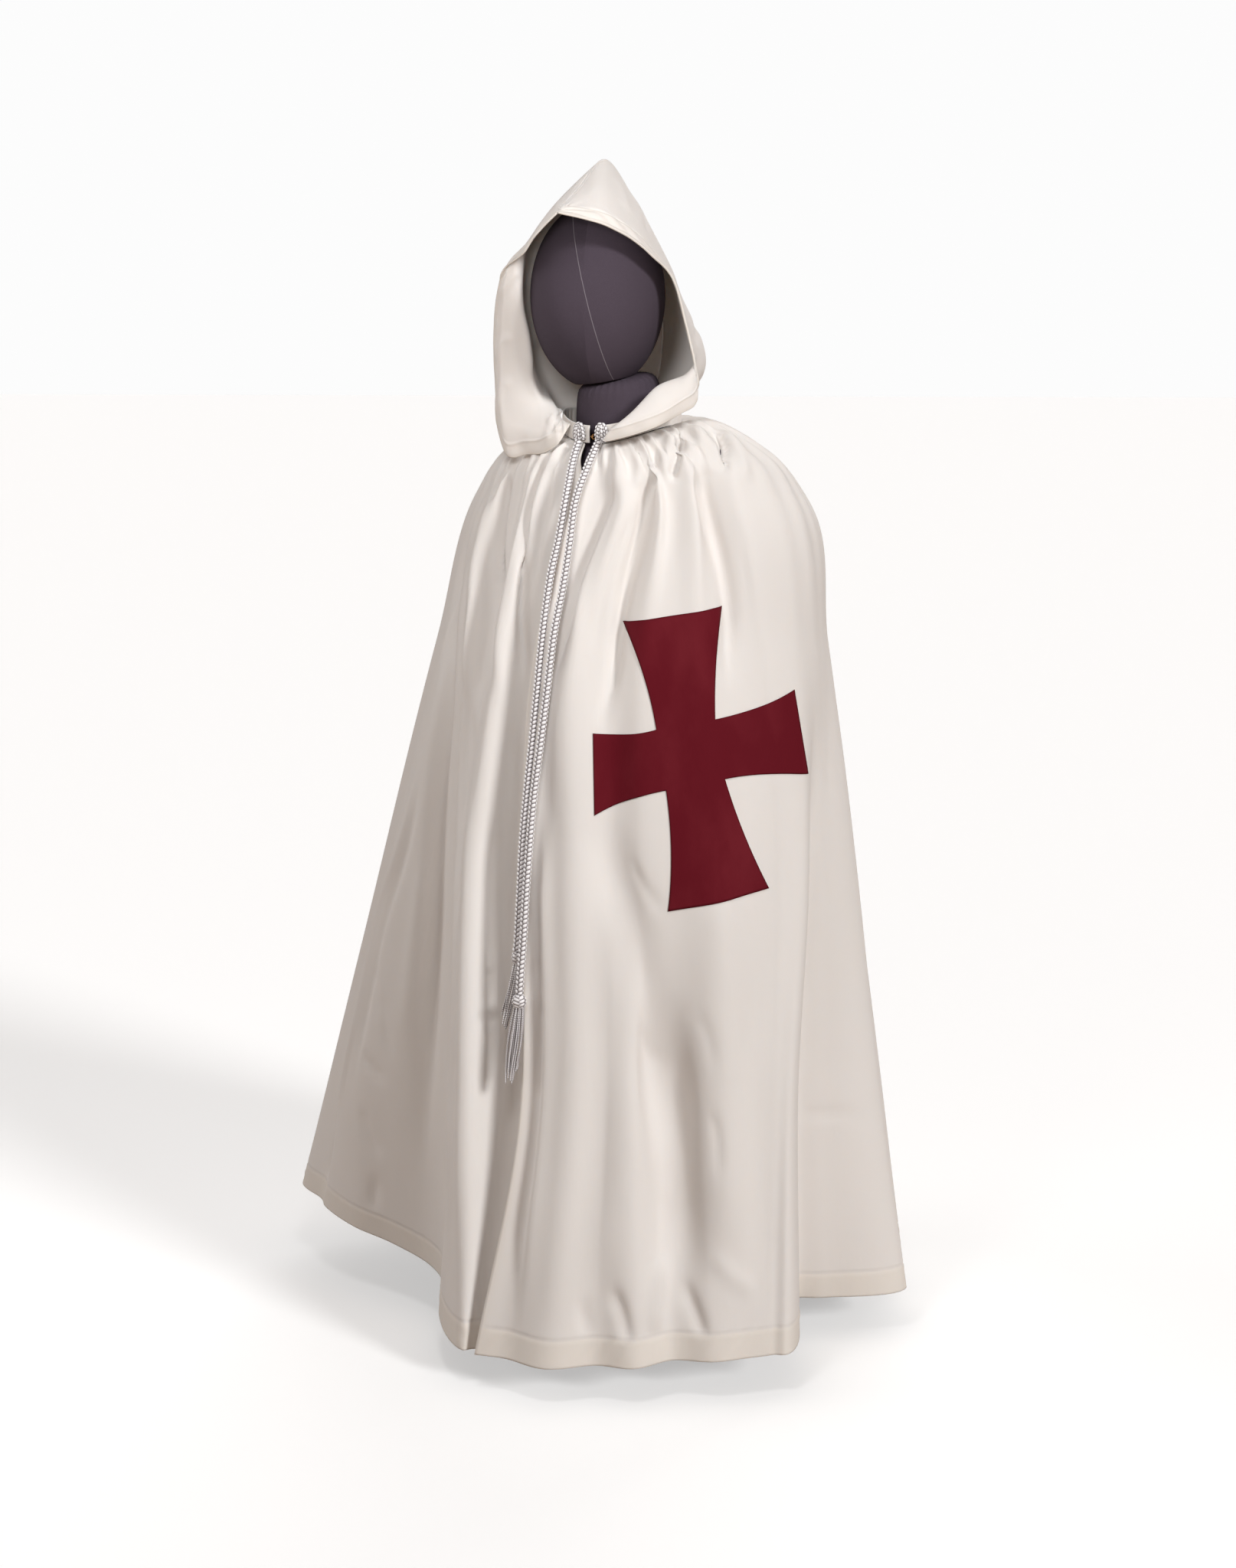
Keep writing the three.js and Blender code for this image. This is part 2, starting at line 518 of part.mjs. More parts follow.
function hoodHalf(sections, neck, side) {
  const surface = hoodSurface(sections, neck, side);
  const spread = (steps, end) => Array.from({ length: steps + 1 }, (_, i) => (i * end) / steps);
  const us = spread(HOOD_COLUMNS, HOOD_PARTS.length - 1);
  const ws = spread(HOOD_ROWS, sections.length);
  const step = { u: 0.05, w: 0.08 };
  const aside = side * SEAM_GAP * 0.6;
  const lining = sheetOf(surface, us, ws, (u, w, p) => p.setX(p.x + aside));
  const face = sheetOf(surface, us, ws, (u, w, p) => {
    const wall = u > HOOD_PARTS.length - 1.2 ? CASING : CLOTH;
    const outward = normalAt(surface, u, w, step, -side);
    if (u < 0.01) outward.setX(0).normalize(); // the wall's end lies in the plane of the centre seam
    if (w < 0.01) outward.setZ(0).normalize(); // and its foot stands upright round the neckband
    return p.setX(p.x + aside).addScaledVector(outward, wall);
  });
  return wallBetween(face, lining);
}

// ---------------------------------------------------------------- closure, cords and tassels
function torus(radius, tube, squash = 1) {
  return new THREE.TorusGeometry(radius, tube, 6, 14).scale(1, 1, squash);
}

// A coil of cord worked into a flat knot: two turns and the crown that crosses them.
function frog(bearing, lean) {
  const thickness = 3.7;
  const turns = [
    torus(6.4, 4.2, 0.95),
    torus(5, 3.6, 0.95).rotateZ(0.3).translate(0, 5.4, 0.5),
    torus(4.6, 3.4, 0.95).rotateZ(0.5).translate(0, -5.6, 0.5),
  ];
  const crown = new THREE.SphereGeometry(4.6, 8, 6).scale(1.5, 0.8, 0.85).rotateZ(lean).translate(0, 0, 0.9);
  const geometry = fuse([...turns, crown]);
  geometry.rotateX(Math.PI / 2);
  const place = bandPoint(BAND_OUTER + SEAM_GAP + thickness, bearing, 13.5);
  geometry.rotateZ(radians(bearing));
  return geometry.translate(place.x, place.y, place.z);
}

// A brass eye and the hook that holds it, in the gap between the ends of the neckband.
function hookAndEye() {
  const eye = torus(2.9, 0.8).rotateX(Math.PI / 2).translate(0.6, 0, 0);
  const shank = new THREE.CylinderGeometry(0.8, 0.8, 3.6, 6).rotateZ(Math.PI / 2).translate(-3.2, 0, 0);
  const bill = torus(1.7, 0.7).rotateX(Math.PI / 2).translate(-1.6, -0.6, 0);
  const geometry = fuse([eye, shank, bill]);
  const place = bandPoint((BAND_INNER + BAND_OUTER) / 2, 0, 9);
  return geometry.translate(place.x, place.y, place.z);
}

function circleShape(radius, sides) {
  const shape = new THREE.Shape();
  for (let i = 0; i < sides; i += 1) {
    const angle = (2 * Math.PI * i) / sides;
    const method = i === 0 ? "moveTo" : "lineTo";
    shape[method](radius * Math.cos(angle), radius * Math.sin(angle));
  }
  return shape;
}

function cord(points) {
  const path = new THREE.CatmullRomCurve3(points.map((p) => new THREE.Vector3(...p)), false, "centripetal");
  const options = { steps: CORD_STEPS, extrudePath: path, bevelEnabled: false };
  return new THREE.ExtrudeGeometry(circleShape(CORD_RADIUS, CORD_SIDES), options);
}

// A knotted head with strands that hang from it, fused at their roots. It hangs from the point top.
function tassel(top, size) {
  const low = size.height / 2;
  const head = new THREE.SphereGeometry(1, 10, 7).rotateX(Math.PI / 2);
  head.scale(size.width / 2, 0.4 * size.width, low);
  const pieces = [head];
  for (let i = 0; i < STRANDS; i += 1) {
    const angle = (2 * Math.PI * i * 5) / STRANDS;
    const ring = i % 2 === 0 ? 1 : 0.45;
    const across = Math.cos(angle) * ring;
    const deep = Math.sin(angle) * ring;
    const reach = size.length * (0.9 + 0.1 * Math.cos(3.1 * i));
    const root = new THREE.Vector3(across * size.root, 0.55 * deep * size.root, -0.55 * low);
    const tip = new THREE.Vector3(across * size.spread + size.lean, 0.5 * deep * size.spread, -low - reach);
    tip.x += root.x;
    tip.y += root.y - reach * size.slope;
    const middle = root.clone().lerp(tip, 0.5);
    middle.x -= 0.25 * size.lean;
    const path = new THREE.CatmullRomCurve3([root, middle, tip]);
    const options = { steps: STRAND_STEPS, extrudePath: path, bevelEnabled: false };
    pieces.push(new THREE.ExtrudeGeometry(circleShape(STRAND_RADIUS, STRAND_SIDES), options));
  }
  return fuse(pieces).translate(top.x, top.y, top.z - low - SEAM_GAP);
}

// ---------------------------------------------------------------- dress form
const HEAD = { centre: [-15, -85, 1293], halfWidth: 86, halfDepth: 97, halfHeight: 121, turn: 18 };
const JOINT = { x: 3, y: -66, z: 1189.5, slopeX: 0.09, slopeY: 0.18, radius: 51 };
const NECK_BASE = { x: 0, y: -48, z: 1118, slopeX: 0, slopeY: 0.22, radius: 60 };

const planeHeight = (plane, x, y) => plane.z + plane.slopeX * (x - plane.x) + plane.slopeY * (y - plane.y);

// A circle, seen from above, that lies in a tilted plane.
function discLoop(plane, radius, lift, count = FORM_SIDES) {
  return Array.from({ length: count }, (_, i) => {
    const angle = (2 * Math.PI * i) / count;
    const x = plane.x + radius * Math.sin(angle);
    const y = plane.y - radius * Math.cos(angle);
    return new THREE.Vector3(x, y, planeHeight(plane, x, y) + lift);
  });
}

function formHead() {
  const egg = new THREE.SphereGeometry(1, 24, 14).rotateX(Math.PI / 2);
  egg.scale(HEAD.halfWidth, HEAD.halfDepth, HEAD.halfHeight);
  egg.rotateZ(radians(HEAD.turn)).translate(...HEAD.centre);
  const wide = 200;
  const below = loft([discLoop(JOINT, wide, -wide, 8), discLoop(JOINT, wide, SEAM_GAP, 8)]);
  return geometryFrom(solidOf(egg).subtract(solidOf(below)));
}

function formNeck() {
  const waisted = { x: 1, y: -56, z: 1153, slopeX: 0.05, slopeY: 0.2 };
  return loft([
    discLoop(NECK_BASE, NECK_BASE.radius, SEAM_GAP),
    discLoop(waisted, 56, 0),
    discLoop(JOINT, JOINT.radius, 0),
  ]);
}

// Rings of the torso, like the mantle's but without arms: the shoulders end in rounded caps.
const TORSO = [
  { cy: 0, left: 120, right: 120, front: 92, back: 84,
    zFront: 566, zLeft: 566, zRight: 566, zBack: 566 },
  { cy: 0, left: 158, right: 158, front: 112, back: 102,
    zFront: 600, zLeft: 600, zRight: 600, zBack: 600 },
  { cy: 0, left: 138, right: 138, front: 98, back: 84,
    zFront: 740, zLeft: 740, zRight: 740, zBack: 740 },
  { cy: 0, left: 162, right: 162, front: 124, back: 102,
    zFront: 880, zLeft: 880, zRight: 880, zBack: 880 },
  { cy: 0, left: 196, right: 190, front: 136, back: 106,
    zFront: 975, zLeft: 960, zRight: 960, zBack: 975 },
  { cy: 0, left: 222, right: 214, front: 140, back: 108,
    zFront: 1026, zLeft: 1020, zRight: 1020, zBack: 1024 },
  { cy: -15, left: 184, right: 180, front: 118, back: 90,
    zFront: 1050, zLeft: 1089.6, zRight: 1087, zBack: 1098 },
  { cy: -40, left: 104, right: 104, front: 82, back: 84,
    zFront: 1080, zLeft: 1120, zRight: 1119, zBack: 1125 },
];

function formTorso() {
  const loops = TORSO.map((ring) =>
    Array.from({ length: FORM_SIDES }, (_, i) => ringPoint(ring, (360 * i) / FORM_SIDES, 0)));
  return loft([...loops, discLoop(NECK_BASE, NECK_BASE.radius + 6, 0)]);
}

function lathe(profile, segments) {
  const points = profile.map(([r, z]) => new THREE.Vector2(r, z));
  return new THREE.LatheGeometry(points, segments).rotateX(Math.PI / 2);
}

function formBase() {
  const edge = BASE_RADIUS;
  return lathe([
    [0, 0], [edge - 2, 0], [edge, 3], [edge, 8],
    [edge - 10, BASE_HEIGHT - 2], [40, BASE_HEIGHT], [0, BASE_HEIGHT],
  ], FORM_SIDES);
}

function formPole() {
  const low = BASE_HEIGHT + SEAM_GAP;
  const high = POLE_TOP - SEAM_GAP;
  return lathe([[0, low], [POLE_RADIUS, low], [POLE_RADIUS, high], [0, high]], 16);
}

// ---------------------------------------------------------------- assembly
const end = (points) => new THREE.Vector3(...points[points.length - 1]);
const group = new THREE.Group();
group.name = "templar_mantle";
group.add(
  named("mantle_left", mantleHalf(LEFT), IVORY),
  named("mantle_right", mantleHalf(RIGHT), IVORY),
  named("hood_left", hoodHalf(HOOD_LEFT, HOOD_NECK_LEFT, 1), IVORY),
  named("hood_right", hoodHalf(HOOD_RIGHT, HOOD_NECK_RIGHT, -1), IVORY),
  named("neckband", neckband(), IVORY),
  named("cross", cross(), RED, 0.7),
  named("frog_left", frog(10, 0.9), RAYON, 0.5),
  named("frog_right", frog(-13, -0.9), RAYON, 0.5),
  named("hook_and_eye", hookAndEye(), BRASS, 0.35, 0.9),
  named("cord_left", cord(CORD_LEFT), RAYON, 0.5),
  named("cord_right", cord(CORD_RIGHT), RAYON, 0.5),
  named("tassel_left", tassel(end(CORD_LEFT), TASSEL_LEFT), RAYON, 0.5),
  named("tassel_right", tassel(end(CORD_RIGHT), TASSEL_RIGHT), RAYON, 0.5),
  named("form_head", formHead(), LINEN, 0.95),
  named("form_neck", formNeck(), LINEN, 0.95),
  named("form_torso", formTorso(), LINEN, 0.95),
  named("form_pole", formPole(), STEEL, 0.35, 0.9),
  named("form_base", formBase(), PAINTED, 0.5, 0.4),
);

export default group;
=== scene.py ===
"""Looks of a hooded mantle of ivory gabardine with a red cross, worn on a linen-covered dress form.

Everything is in metres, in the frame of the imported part: +Z up, the wearer faces -Y and the wearer's
left is +X. The tables of the cloth hold millimetres, as the part's own drawings do.
"""

import logging
import math
from dataclasses import dataclass
from enum import Enum
from typing import Callable, Optional, Sequence

import bmesh
import bpy
import numpy as np
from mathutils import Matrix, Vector
from mathutils.bvhtree import BVHTree


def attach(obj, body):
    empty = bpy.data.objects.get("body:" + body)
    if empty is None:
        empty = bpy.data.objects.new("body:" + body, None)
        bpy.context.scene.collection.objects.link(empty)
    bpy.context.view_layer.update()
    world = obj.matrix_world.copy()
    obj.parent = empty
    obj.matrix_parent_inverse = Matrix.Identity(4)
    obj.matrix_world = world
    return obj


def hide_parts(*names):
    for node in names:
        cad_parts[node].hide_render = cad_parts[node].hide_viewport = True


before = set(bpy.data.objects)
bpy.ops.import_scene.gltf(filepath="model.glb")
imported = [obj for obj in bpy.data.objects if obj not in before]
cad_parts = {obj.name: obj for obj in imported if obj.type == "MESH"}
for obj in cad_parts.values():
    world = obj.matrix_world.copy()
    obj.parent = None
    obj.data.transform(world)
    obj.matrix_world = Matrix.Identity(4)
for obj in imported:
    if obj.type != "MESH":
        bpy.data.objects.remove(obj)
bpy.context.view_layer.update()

LOG = logging.getLogger("mantle")
MM = 0.001
BODY = "root"
WORN_PREFIX = "finish_"

Point = tuple[float, float, float]
Pair = tuple[float, float]


# ---------------------------------------------------------------- camera, floor and light
PICTURE_WIDTH = 1614
PICTURE_HEIGHT = 2048
AXIS_COLUMN = 835
HORIZON_ROW = 500
FOCAL_PIXELS = 3300
EYE_DISTANCE = 3.3
EYE_HEIGHT = 1.181
EYE_AZIMUTH = math.radians(28)
SENSOR = 36.0


@dataclass
class Studio:
    """The pale floor, the soft lights and the camera.

    Attributes:
        floor_size: side of the square floor.
        paper: tone of the floor.
        glow: how much light it gives itself.
        backdrop: tone of the wall behind it.
        fill: colour of the light that comes from all sides.
        fill_strength: how strong that light is.
    """

    floor_size: float = 400.0
    paper: float = 0.75
    glow: float = 0.585
    backdrop: float = 0.975
    fill: tuple[float, float, float, float] = (1.0, 0.76, 0.62, 1.0)
    fill_strength: float = 0.12

    def build(self) -> None:
        """Makes the camera, the floor and the lights."""
        self.place_camera()
        self.lay_floor()
        self.hang_lights()

    def place_camera(self) -> None:
        """Makes the camera, level, at the wearer's eye height, and makes it the scene's."""
        data = bpy.data.cameras.new("camera")
        data.sensor_width = SENSOR
        data.lens = FOCAL_PIXELS / PICTURE_HEIGHT * SENSOR
        data.shift_x = (PICTURE_WIDTH / 2 - AXIS_COLUMN) / PICTURE_HEIGHT
        data.shift_y = (HORIZON_ROW - PICTURE_HEIGHT / 2) / PICTURE_HEIGHT
        data.clip_end = 500
        camera = bpy.data.objects.new("camera", data)
        out = Vector((math.sin(EYE_AZIMUTH), -math.cos(EYE_AZIMUTH), 0)) * EYE_DISTANCE
        camera.location = out + Vector((0, 0, EYE_HEIGHT))
        camera.rotation_euler = (math.pi / 2, 0, EYE_AZIMUTH)
        bpy.context.collection.objects.link(camera)
        bpy.context.scene.camera = camera

    def lay_floor(self) -> None:
        """Makes the floor, just under the stand's base."""
        mesh = bpy.data.meshes.new("floor")
        work = bmesh.new()
        bmesh.ops.create_grid(work, x_segments=1, y_segments=1, size=self.floor_size / 2)
        bmesh.ops.translate(work, verts=work.verts, vec=(0, 0, -0.0005))
        work.to_mesh(mesh)
        work.free()
        floor = bpy.data.objects.new("floor", mesh)
        bpy.context.collection.objects.link(floor)
        floor.data.materials.append(Paper(self.paper, self.glow).material())

    def hang_lights(self) -> None:
        """Lights the room: a soft key on the wearer's left, weak lights around it and a lamp for the hood."""
        bpy.context.scene.view_settings.view_transform = "Standard"
        world = bpy.data.worlds.new("studio")
        bpy.context.scene.world = world
        world.use_nodes = True
        tree = world.node_tree
        fill = tree.nodes["Background"]
        fill.inputs["Color"].default_value = self.fill
        fill.inputs["Strength"].default_value = self.fill_strength
        backdrop = tree.nodes.new("ShaderNodeBackground")
        backdrop.inputs["Color"].default_value = (self.backdrop, self.backdrop, self.backdrop, 1)
        ray = tree.nodes.new("ShaderNodeLightPath")
        choice = tree.nodes.new("ShaderNodeMixShader")
        tree.links.new(ray.outputs["Is Camera Ray"], choice.inputs[0])
        tree.links.new(fill.outputs[0], choice.inputs[1])
        tree.links.new(backdrop.outputs[0], choice.inputs[2])
        tree.links.new(choice.outputs[0], tree.nodes["World Output"].inputs["Surface"])
        self.softbox("key", bearing=72, height=24, spread=12, power=2.05)
        self.softbox("front", bearing=28, height=14, spread=50, power=0.2)
        self.softbox("side", bearing=-70, height=10, spread=40, power=1.25)
        self.softbox("above", bearing=40, height=80, spread=60, power=0.15)
        self.softbox("back", bearing=196, height=30, spread=50, power=1.3)
        self.lamp("hood", bearing=14, distance=0.8, height=1.38, size=0.12, power=10)

    def lamp(
        self,
        name: str,
        bearing: float,
        distance: float,
        height: float,
        size: float,
        power: float,
    ) -> None:
        """Hangs a small lamp near the piece, unseen itself.

        Args:
            name: the light's name.
            bearing: where it stands, in degrees from the front towards the wearer's left.
            distance: how far it is from the middle, in metres.
            height: how high it is.
            size: its radius.
            power: its watts.
        """
        data = bpy.data.lights.new(name, "POINT")
        data.shadow_soft_size = size
        data.energy = power
        light = bpy.data.objects.new(name, data)
        turn = math.radians(bearing)
        light.location = (math.sin(turn) * distance, -math.cos(turn) * distance, height)
        light.visible_camera = False
        bpy.context.collection.objects.link(light)

    def softbox(self, name: str, bearing: float, height: float, spread: float, power: float) -> None:
        """Hangs a soft light far away, so that it falls evenly on the floor.

        Args:
            name: the light's name.
            bearing: where it stands, in degrees from the front towards the wearer's left.
            height: its height, in degrees.
            spread: how wide it looks, in degrees.
            power: its watts on a square metre.
        """
        data = bpy.data.lights.new(name, "SUN")
        data.angle = math.radians(spread)
        data.energy = power
        light = bpy.data.objects.new(name, data)
        turn = math.radians(bearing)
        rise = math.radians(height)
        level = Vector((math.sin(turn), -math.cos(turn), 0)) * math.cos(rise)
        towards = level + Vector((0, 0, math.sin(rise)))
        light.rotation_euler = towards.to_track_quat("Z", "Y").to_euler()
        bpy.context.collection.objects.link(light)


# ---------------------------------------------------------------- shader maths
class Value:
    """A socket of numbers, with the operators that the finishes use."""

    def __init__(self, graph: "Graph", socket: bpy.types.NodeSocket) -> None:
        """Wraps an output socket of a graph."""
        self.graph = graph
        self.socket = socket

    def maths(self, operation: str, first: object, second: object) -> "Value":
        """Adds a Math node and returns its result."""
        return self.graph.node("ShaderNodeMath", {"operation": operation}, {0: first, 1: second})

    def __add__(self, other: object) -> "Value":
        """Adds."""
        return self.maths("ADD", self, other)

    __radd__ = __add__

    def __rsub__(self, other: object) -> "Value":
        """Subtracts from a number."""
        return self.maths("SUBTRACT", other, self)

    def __mul__(self, other: object) -> "Value":
        """Multiplies."""
        return self.maths("MULTIPLY", self, other)

    def wave(self) -> "Value":
        """The sine."""
        return self.maths("SINE", self, 0.0)

    def size(self) -> "Value":
        """The absolute value."""
        return self.maths("ABSOLUTE", self, 0.0)

    def step(self, low: float, high: float) -> "Value":
        """Rises smoothly from 0 at low to 1 at high."""
        settings = {"interpolation_type": "SMOOTHSTEP"}
        return self.graph.node("ShaderNodeMapRange", settings, {0: self, 1: low, 2: high})


class Graph:
    """A material's nodes, with a Principled shader that its finish dresses."""

    def __init__(self, name: str) -> None:
        """Starts a material of that name."""
        self.material = bpy.data.materials.new(WORN_PREFIX + name)
        self.material.use_nodes = True
        self.tree = self.material.node_tree
        self.shader = self.tree.nodes["Principled BSDF"]

    def node(self, kind: str, settings: dict, inputs: dict, output: object = 0) -> Value:
        """Adds a node.

        Args:
            kind: the node's type.
            settings: its own properties, which are set first.
            inputs: values or links of its sockets, by name or number.
            output: the socket to return.

        Returns:
            The wrapped output.
        """
        node = self.tree.nodes.new(kind)
        for key, value in settings.items():
            setattr(node, key, value)
        for key, value in inputs.items():
            self.feed(node.inputs[key], value)
        return Value(self, node.outputs[output])

    def feed(self, socket: bpy.types.NodeSocket, value: object) -> None:
        """Links a wrapped output to a socket, or sets its value."""
        if isinstance(value, Value):
            self.tree.links.new(value.socket, socket)
        else:
            socket.default_value = value

    def dress(self, **inputs: object) -> None:
        """Sets or links sockets of the shader, with _ for the space in a name."""
        for key, value in inputs.items():
            self.feed(self.shader.inputs[key.replace("_", " ")], value)

    def place(self, scale: Point, output: str = "Object") -> Value:
        """Coordinates of the piece, scaled."""
        source = self.node("ShaderNodeTexCoord", {}, {}, output)
        return self.node("ShaderNodeMapping", {}, {"Vector": source, "Scale": scale})

    def axis(self, vector: Value, name: str) -> Value:
        """One coordinate of a vector."""
        return self.node("ShaderNodeSeparateXYZ", {}, {"Vector": vector}, name)

    def noise(self, vector: Value, detail: float = 3.0, roughness: float = 0.5) -> Value:
        """Soft noise from 0 to 1."""
        inputs = {"Vector": vector, "Scale": 1.0, "Detail": detail, "Roughness": roughness}
        return self.node("ShaderNodeTexNoise", {}, inputs, 0)

    def attribute(self, name: str) -> Value:
        """A number stored on the piece."""
        return self.node("ShaderNodeAttribute", {"attribute_name": name}, {}, "Fac")

    def blend(self, amount: object, first: object, second: object) -> Value:
        """Mixes two colours."""
        settings = {"data_type": "RGBA"}
        return self.node("ShaderNodeMix", settings, {0: amount, 6: first, 7: second}, 2)

    def bump(self, height: Value, depth: float, below: Optional[Value] = None) -> Value:
        """A normal bent by a height of that depth in metres, over another normal."""
        inputs = {"Height": height, "Distance": depth, "Strength": 1.0}
        if below is not None:
            inputs["Normal"] = below
        return self.node("ShaderNodeBump", {}, inputs)


Colour = tuple[float, float, float, float]


@dataclass(frozen=True)
class Paper:
    """The matt white of the floor, which throws little of its light back at the cloth.

    Attributes:
        white: its tone as it is seen.
        glow: how much light it gives itself there.
        back: its tone as the cloth sees it.
    """

    white: float
    glow: float
    back: Colour = (0.36, 0.28, 0.22, 1.0)

    def material(self) -> bpy.types.Material:
        """Makes the material."""
        graph = Graph("paper")
        white = (self.white, self.white, self.white, 1.0)
        graph.dress(Base_Color=white, Roughness=1.0, Specular_IOR_Level=0.0)
        graph.dress(Emission_Color=white, Emission_Strength=self.glow)
        seen = graph.node("ShaderNodeLightPath", {}, {}, "Is Camera Ray")
        dull = graph.node("ShaderNodeBsdfDiffuse", {}, {"Color": self.back})
        shown = Value(graph, graph.shader.outputs["BSDF"])
        either = graph.node("ShaderNodeMixShader", {}, {0: seen, 1: dull, 2: shown})
        graph.feed(graph.tree.nodes["Material Output"].inputs["Surface"], either)
        return graph.material


@dataclass(frozen=True)
class Gabardine:
    """Ivory polyester gabardine: a fine twill with a faint silky sheen.

    Attributes:
        ivory: colour of a single layer.
        cream: colour where the cloth is double, at hems and casings.
        twill: distance between the twill's lines.
        thin: share of the light that shines through.
    """

    name: str = "ivory_gabardine"
    ivory: Colour = (0.815, 0.778, 0.75, 1.0)
    cream: Colour = (0.79, 0.735, 0.66, 1.0)
    twill: float = 0.0011
    thin: float = 0.2

    def material(self) -> bpy.types.Material:
        """Makes the material."""
        graph = Graph(self.name)
        uv = graph.place((1, 1, 1), "UV")
        along = graph.axis(uv, "X")
        down = graph.axis(uv, "Y")
        double = graph.attribute("double")
        cloud = graph.noise(graph.place((7, 7, 5)), 2.0)
        colour = graph.blend(double * 0.5 + cloud * 0.12, self.ivory, self.cream)
        lines = ((along + down * 1.3) * (2 * math.pi / self.twill)).wave()
        threads = graph.noise(graph.place((2600, 2600, 2600)), 1.0)
        rumple = graph.noise(graph.place((34, 34, 12)), 3.0, 0.5)
        soft = graph.bump(rumple, 0.0007)
        weave = graph.bump(lines * 0.6 + threads * 0.5, 0.00003, soft)
        rough = 0.66 + cloud * 0.16
        graph.dress(
            Base_Color=colour,
            Roughness=rough,
            Normal=weave,
            Specular_IOR_Level=0.18,
            Sheen_Weight=0.1,
            Sheen_Roughness=0.4,
            Subsurface_Weight=self.thin,
            Subsurface_Radius=(1.0, 0.8, 0.66),
            Subsurface_Scale=0.003,
        )
        return graph.material


@dataclass(frozen=True)
class RedCloth:
    """The dull dark red cloth of the cross, darker along its turned edge."""

    name: str = "red_cloth"
    red: Colour = (0.120, 0.006, 0.013, 1.0)
    edge: Colour = (0.09, 0.005, 0.010, 1.0)
    worn: Colour = (0.150, 0.012, 0.020, 1.0)

    def material(self) -> bpy.types.Material:
        """Makes the material."""
        graph = Graph(self.name)
        cloud = graph.noise(graph.place((16, 16, 9)), 4.0)
        body = graph.blend(cloud.step(0.42, 0.75), self.red, self.worn)
        rim = graph.attribute("rim")
        colour = graph.blend(rim, body, self.edge)
        threads = graph.noise(graph.place((1500, 1500, 1500)), 2.0)
        rumple = graph.noise(graph.place((60, 60, 30)), 3.0)
        soft = graph.bump(rumple, 0.0008)
        graph.dress(
            Base_Color=colour,
            Roughness=0.72 + threads * 0.14,
            Normal=graph.bump(threads, 0.00006, soft),
            Specular_IOR_Level=0.08,
        )
        return graph.material


@dataclass(frozen=True)
class Rayon:
    """Silver-white rayon of the braid and the tassels, with painted shade in the hollows between its strands.
    """

    name: str = "braided_rayon"
    silver: Colour = (0.93, 0.92, 0.94, 1.0)
    # painted shade: the colour given to the low parts of the plait
    shade: Colour = (0.24, 0.215, 0.22, 1.0)

    def material(self) -> bpy.types.Material:
        """Makes the material."""
        graph = Graph(self.name)
        raised = graph.attribute("raised")
        threads = graph.noise(graph.place((2200, 2200, 900)), 2.0)
        # painted shade: where the strands dip between their lumps, by their stored height, the colour darkens
        # towards the shade colour
        colour = graph.blend(raised.step(0.22, 0.62), self.shade, self.silver)
        graph.dress(
            Base_Color=colour,
            Roughness=0.34 + threads * 0.18,
            Normal=graph.bump(threads, 0.00018),
            Specular_IOR_Level=0.6,
            Sheen_Weight=0.1,
        )
        return graph.material


@dataclass(frozen=True)
class Linen:
    """Dark grey-violet linen, stretched smooth over the form, with a pale seam.

    Attributes:
        warp: its darker threads.
        weft: its lighter threads.
        pitch: distance between threads.
    """

    name: str = "grey_linen"
    warp: Colour = (0.040, 0.030, 0.042, 1.0)
    weft: Colour = (0.115, 0.090, 0.116, 1.0)
    seam: Colour = (0.26, 0.23, 0.26, 1.0)
    pitch: float = 0.0013

    def material(self) -> bpy.types.Material:
        """Makes the material."""
        graph = Graph(self.name)
        uv = graph.place((1, 1, 1), "UV")
        turn = 2 * math.pi / self.pitch
        slub = graph.noise(graph.place((90, 90, 700)), 3.0)
        across = ((graph.axis(uv, "X") + slub * self.pitch) * turn).wave()
        up = ((graph.axis(uv, "Y") + slub * self.pitch) * turn).wave()
        weave = (across * up) * 0.5 + 0.5
        fibre = graph.noise(graph.place((1400, 1400, 1400)), 2.0)
        cloth = graph.blend(weave * 0.5 + fibre * 0.5, self.warp, self.weft)
        line = 1 - graph.attribute("from_seam").size().step(0.25, 0.8)
        colour = graph.blend(line * 0.8, cloth, self.seam)
        ridge = graph.bump(line, 0.0004)
        graph.dress(
            Base_Color=colour,
            Roughness=0.84 + fibre * 0.1,
            Normal=graph.bump(weave + fibre * 0.6, 0.0003, ridge),
            Specular_IOR_Level=0.15,
        )
        return graph.material


@dataclass(frozen=True)
class Metal:
    """A metal, bare or painted, with faint wear."""

    name: str
    colour: Colour
    worn: Colour
    roughness: float
    metallic: float

    def material(self) -> bpy.types.Material:
        """Makes the material."""
        graph = Graph(self.name)
        scuffs = graph.noise(graph.place((60, 60, 60)), 5.0, 0.65)
        colour = graph.blend(scuffs.step(0.5, 0.8), self.colour, self.worn)
        graph.dress(
            Base_Color=colour,
            Roughness=self.roughness + scuffs * 0.15,
            Metallic=self.metallic,
            Normal=graph.bump(scuffs, 0.00005),
        )
        return graph.material


class Finish(Enum):
    """The finishes, each with its material."""

    CLOTH = Gabardine()
    RED = RedCloth()
    RAYON = Rayon()
    LINEN = Linen()
    BRASS = Metal("brass", (0.55, 0.30, 0.12, 1), (0.30, 0.15, 0.06, 1), 0.25, 1.0)
    STEEL = Metal("steel", (0.50, 0.51, 0.52, 1), (0.30, 0.30, 0.31, 1), 0.3, 1.0)
    PAINT = Metal("dark_steel", (0.025, 0.023, 0.027, 1), (0.05, 0.048, 0.052, 1), 0.45, 0.0)

    def material(self) -> bpy.types.Material:
        """The finish's material, made once."""
        made = bpy.data.materials.get(WORN_PREFIX + self.value.name)
        return made if made is not None else self.value.material()


